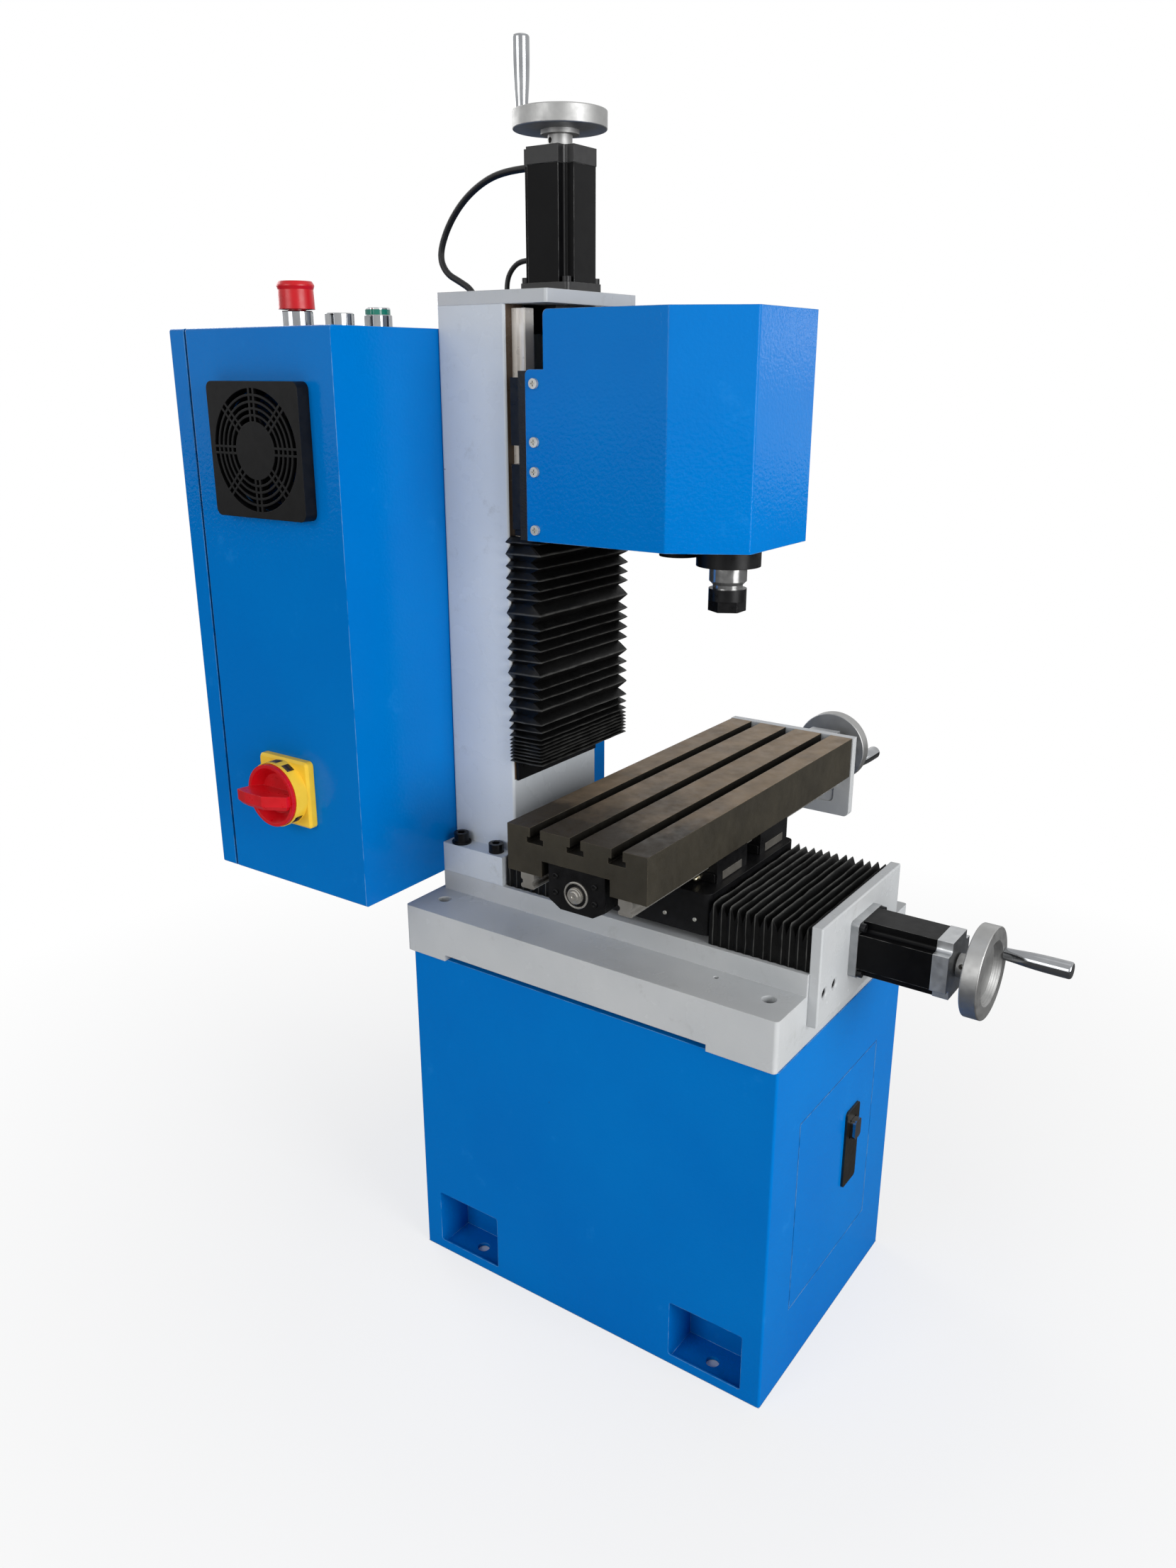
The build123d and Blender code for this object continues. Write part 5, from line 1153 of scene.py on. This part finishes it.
@dataclass
class SwitchWindowShade:
    """Painted shade in the windows round the main switch's collar, where padlocks pass through: dark patches on the
    collar.

    Attributes:
        centre_mm: The collar's axis along Y and Z.
        radius_mm: Radius of the windows, a little outside the collar.
        level_mm: Their middle along X.
        places_deg: Their middles round the collar.
        half_deg: Half of a window's angle.
        half_mm: Half of its size along X.
        wall_mm: Its thickness.
    """

    centre_mm: tuple[float, float] = (316.0, 562.0)
    radius_mm: float = 33.95
    level_mm: float = -232.0
    places_deg: tuple[float, ...] = (88.0, 118.0, 225.0, 315.0)
    half_deg: float = 8.5
    half_mm: float = 4.5
    wall_mm: float = 0.2

    def build(self) -> None:
        """Make curved patches of painted shade: a circle's points over an angle, carried along the collar's axis.
        """
        depth = self.level_mm + np.linspace(-self.half_mm, self.half_mm, 3)
        patches = []
        for place in self.places_deg:
            turn = np.radians(np.linspace(place - self.half_deg, place + self.half_deg, 9))
            ring = np.stack([np.zeros_like(turn), self.centre_mm[0] + self.radius_mm * np.cos(turn),
                             self.centre_mm[1] + self.radius_mm * np.sin(turn)], -1)
            patches.append(Surface.grid(ring[None, :, :] + depth[:, None, None] * Way.X.unit))
        piece = Surface.joined(patches).piece("switch_window_shade", Paints.WINDOW_SHADE, "yellow_plastic")
        thicken(piece, self.wall_mm)
        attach(piece, "frame")


@dataclass
class Studio:
    """Camera, lamps, backdrop and floor.

    Attributes:
        eye_mm: The camera's place.
        yaw_deg: Its turn from +Y towards +X.
        pitch_deg: Its tilt above the level.
        lens_mm: Its focal length.
        sensor_mm: Its sensor's longer side.
        aim: The point that the lamps face, in metres.
        lamps: Name, place and size in metres, and power in watts of each lamp.
        room_light: Strength of the world's even light, where white is one.
        paper: The floor's colour.
        mirrored_paper: The floor's colour in reflections, where white would wash the blue out.
        foot: Half sizes of the machine's foot, under which the floor stays dark.
        glow: Distances between which the floor's own light rises.
        least_glow: That light at the nearer one.
        floor_half: Half of the floor's side.
        floor_drop: How far the floor lies below the machine's foot.
    """

    eye_mm: Point = (-1018.61, -614.83, 971.66)
    yaw_deg: float = 55.2213
    pitch_deg: float = -18.7783
    lens_mm: float = 27.957
    sensor_mm: float = 36.0
    aim: Point = (0.0, 0.0, 0.65)
    lamps: tuple[tuple[str, Point, float, float], ...] = (
        ("key", (-0.5, -2.7, 1.25), 1.7, 64.0),
        ("fill", (-2.8, 0.5, 1.5), 1.5, 23.0),
        ("top", (0.4, -0.4, 3.2), 1.4, 2.0),
        ("window", (2.08, -1.1, 1.08), 0.18, 0.22),
        ("back", (0.6, 2.6, 1.8), 1.8, 26.0),
    )
    room_light: float = 0.32
    paper: str = "#EDEDED"
    mirrored_paper: str = "#6E6E6E"
    foot: tuple[float, float] = (0.15, 0.217)
    glow: tuple[float, float] = (0.4, 1.3)
    least_glow: float = 0.7
    floor_half: float = 9.0
    floor_drop: float = 0.0004

    def build(self) -> None:
        """Set the camera at the photograph's place, soft lamps round the machine and a pale floor."""
        self.camera()
        for name, place, size, power in self.lamps:
            self.lamp(name, place, size, power)
        self.backdrop()
        self.floor()
        bpy.context.scene.view_settings.view_transform = "Standard"

    @staticmethod
    def place(thing: bpy.types.Object, where: Vector, ahead: Vector) -> None:
        """Put a camera or lamp in its place and turn it.

        Args:
            thing: The camera or lamp.
            where: Its place.
            ahead: The way that it looks.
        """
        thing.location = where
        thing.rotation_mode = "QUATERNION"
        thing.rotation_quaternion = ahead.to_track_quat("-Z", "Y")

    def camera(self) -> None:
        """Place the camera by its eye point, yaw and pitch."""
        data = bpy.data.cameras.new("camera")
        data.lens, data.sensor_width = self.lens_mm, self.sensor_mm
        data.clip_start, data.clip_end = 0.01, 50.0
        yaw, pitch = math.radians(self.yaw_deg), math.radians(self.pitch_deg)
        ahead = Vector((math.sin(yaw) * math.cos(pitch), math.cos(yaw) * math.cos(pitch), math.sin(pitch)))
        camera = new_object("camera", data)
        self.place(camera, Vector(self.eye_mm) * MM, ahead)
        bpy.context.scene.camera = camera

    def lamp(self, name: str, place: Point, size: float, power: float) -> None:
        """Hang a square soft lamp that faces the machine's middle.

        Args:
            name: The lamp's name.
            place: Its middle.
            size: Its side.
            power: Its power in watts.
        """
        data = bpy.data.lights.new(name, "AREA")
        data.size, data.energy = size, power
        self.place(new_object(name, data), Vector(place), Vector(self.aim) - Vector(place))

    def backdrop(self) -> None:
        """Give the world an even light, and white where the camera, a reflection or clear matter shows it."""
        world = bpy.data.worlds.new("backdrop")
        bpy.context.scene.world = world
        tree = empty_tree(world)
        ray = add_node(tree, "ShaderNodeLightPath")
        direct = add_node(tree, MATH, {0: ray.outputs["Is Camera Ray"], 1: ray.outputs["Is Transmission Ray"]},
                          operation="MAXIMUM")
        seen = add_node(tree, MATH, {0: direct.outputs[0], 1: ray.outputs["Is Glossy Ray"]}, operation="MAXIMUM")
        level = add_node(tree, MIX, {0: seen.outputs[0], 2: self.room_light, 3: 1.0}, data_type="FLOAT")
        light = add_node(tree, "ShaderNodeBackground", {"Color": linear("#FFFFFF"), "Strength": level.outputs[0]})
        add_node(tree, "ShaderNodeOutputWorld", {"Surface": light.outputs[0]})

    def paper_floor(self) -> bpy.types.Material:
        """Make matt paper that glows near white for the camera, less near the machine so that its shadow stays.

        Returns:
            The floor's material.
        """
        material = bpy.data.materials.new("pale floor paper")
        tree = empty_tree(material)
        ray = add_node(tree, "ShaderNodeLightPath")
        place = add_node(tree, COORD).outputs["Object"]
        axes = add_node(tree, SPLIT, {0: place})
        inside = [add_node(tree, MATH, {0: axes.outputs[way], 1: 0.0, 2: half}, operation="COMPARE").outputs[0]
                  for way, half in zip("XY", self.foot)]
        under = add_node(tree, MATH, {0: inside[0], 1: inside[1]}, operation="MULTIPLY").outputs[0]
        clear = add_node(tree, MATH, {0: ray.outputs["Is Camera Ray"], 1: under}, operation="SUBTRACT",
                         use_clamp=True).outputs[0]
        away = add_node(tree, VECTOR, {0: place}, operation="LENGTH").outputs["Value"]
        pale = add_node(tree, RANGE, {"Value": away, "From Min": self.glow[0], "From Max": self.glow[1],
                                      "To Min": self.least_glow}).outputs[0]
        share = add_node(tree, MATH, {0: clear, 1: pale}, operation="MULTIPLY").outputs[0]
        tone = add_node(tree, MIX, {0: ray.outputs["Is Glossy Ray"], 6: linear(self.paper),
                                    7: linear(self.mirrored_paper)}, data_type="RGBA").outputs[2]
        matt = add_node(tree, "ShaderNodeBsdfDiffuse", {"Color": tone}).outputs[0]
        glow = add_node(tree, "ShaderNodeEmission", {"Color": linear("#FFFFFF"), "Strength": 1.0}).outputs[0]
        both = add_node(tree, "ShaderNodeMixShader", {0: share, 1: matt, 2: glow}).outputs[0]
        add_node(tree, OUTPUT, {"Surface": both})
        return material

    def floor(self) -> None:
        """Lay the floor as one large square just below the machine's foot."""
        corners = np.array([(-1.0, -1.0), (1.0, -1.0), (1.0, 1.0), (-1.0, 1.0)]) * self.floor_half
        mesh = bpy.data.meshes.new("floor")
        mesh.from_pydata(np.column_stack([corners, np.full(4, -self.floor_drop)]).tolist(), [], [(0, 1, 2, 3)])
        mesh.materials.append(self.paper_floor())
        new_object("floor", mesh)


def cables() -> tuple[Cable, Cable]:
    """Return the two cables of the Z motor, on the routes of their solids."""
    return (
        Cable("z_motor_lead", "z_motor_cable", radius_mm=3.25, route_mm=(
            (0, 162.0, 1152.5), (0, 185, 1152.5), (0, 214, 1146.5), (0, 243, 1130.5), (0, 265, 1107),
            (0, 276.5, 1081), (0, 268, 1064.5), (0, 250, 1056), (0, 236, 1048.5), (0, 230, 1037),
            (0, 230, 1026.3))),
        Cable("z_brake_lead", "z_brake_cable", radius_mm=2.5, route_mm=(
            (-10, 155.5, 1071), (-10, 165, 1071), (-10, 175.5, 1064.5), (-10, 182, 1054), (-10, 182, 1044.5))),
    )


def z_bellows() -> Bellows:
    """Return the cover in front of the Z screw: tight pleats at its foot, then even ones with a few wide."""
    pleats = np.array([1.3] * 7 + [2.2, 3.0, 3.6, 5.4, 3.6, 3.4, 6.2, 3.7, 3.9, 3.6, 3.8, 6.4, 3.7, 3.5, 3.9, 3.6,
                                   5.4, 2.8])
    return Bellows("z_bellows_cloth", "z_bellows", "frame", "head", Way.Z, Way.Y, (588.2, 818.2), pleats,
                   half=(81.5, 71.5), front_half=(78.5, 77.0), crown=(94.6, 105.4), hem=133.8, corner=(1.5, 1.5),
                   seed=11)


def y_bellows(name: str, node: str, ends: tuple[float, float], pleats: Sequence[float], seed: int) -> Bellows:
    """Return a cover over the Y screw, on one side of the saddle.

    Args:
        name: The piece's name.
        node: The solid that it stands for, or nothing.
        ends: Its still end and its end at the saddle, along Y.
        pleats: Widths of its pleats.
        seed: Seed of its small differences.

    Returns:
        The cover.
    """
    return Bellows(name, node, "frame", "saddle", Way.Y, Way.Z, ends, np.array(pleats), half=(91.6, 90.6),
                   front_half=(91.6, 90.2), crown=(497.6, 485.2), hem=454.4, corner=(1.2, 1.2), seed=seed)


def saddle_screws() -> ScrewHeads:
    """Return the set screws in the saddle's left flank."""
    seats = [(-90.0, y, z) for y, z in ((-60.9, 473.5), (-94.1, 474.8), (-20.0, 473.8), (30.0, 473.8))]
    return ScrewHeads("saddle_screws", "saddle", Paints.ZINC, "rail_steel", seats, -Way.X.unit, radius_mm=2.0,
                      height_mm=1.2, key_mm=1.0)


def plate_screws() -> ScrewHeads:
    """Return the screws sunk in the four holes of the front plate that carries the Y motor."""
    seats = [(x, -221.2, 432.0) for x in (-80.0, -58.0, 58.0, 80.0)]
    return ScrewHeads("plate_screws", "frame", Paints.OXIDE, "black_steel", seats, -Way.Y.unit, radius_mm=4.4,
                      height_mm=3.2, key_mm=2.2)


def main() -> None:
    """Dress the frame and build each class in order."""
    logging.basicConfig(level=logging.INFO, format="%(name)s: %(message)s")
    Studio().build()
    NodeFinishes().dress()
    front = y_bellows("y_bellows_cloth", "y_bellows", (-215.9, -110.4),
                      (1.0, 0.95, 1.05, 1.0, 1.1, 0.95, 1.0, 1.05, 0.9, 1.0, 1.1, 1.0), 23)
    rear = y_bellows("rear_bellows_cloth", "", (133.9, 50.4),
                     (1.0, 1.05, 0.95, 1.0, 1.1, 0.95, 1.0, 1.05, 0.95), 37)
    for part in (*cables(), z_bellows(), front, rear, CarriageTrim(), ScrewEndTrim(), saddle_screws(), HeadWipers(),
                 plate_screws(), SwitchWindowShade()):
        part.build()


if __name__ == "__main__":
    main()
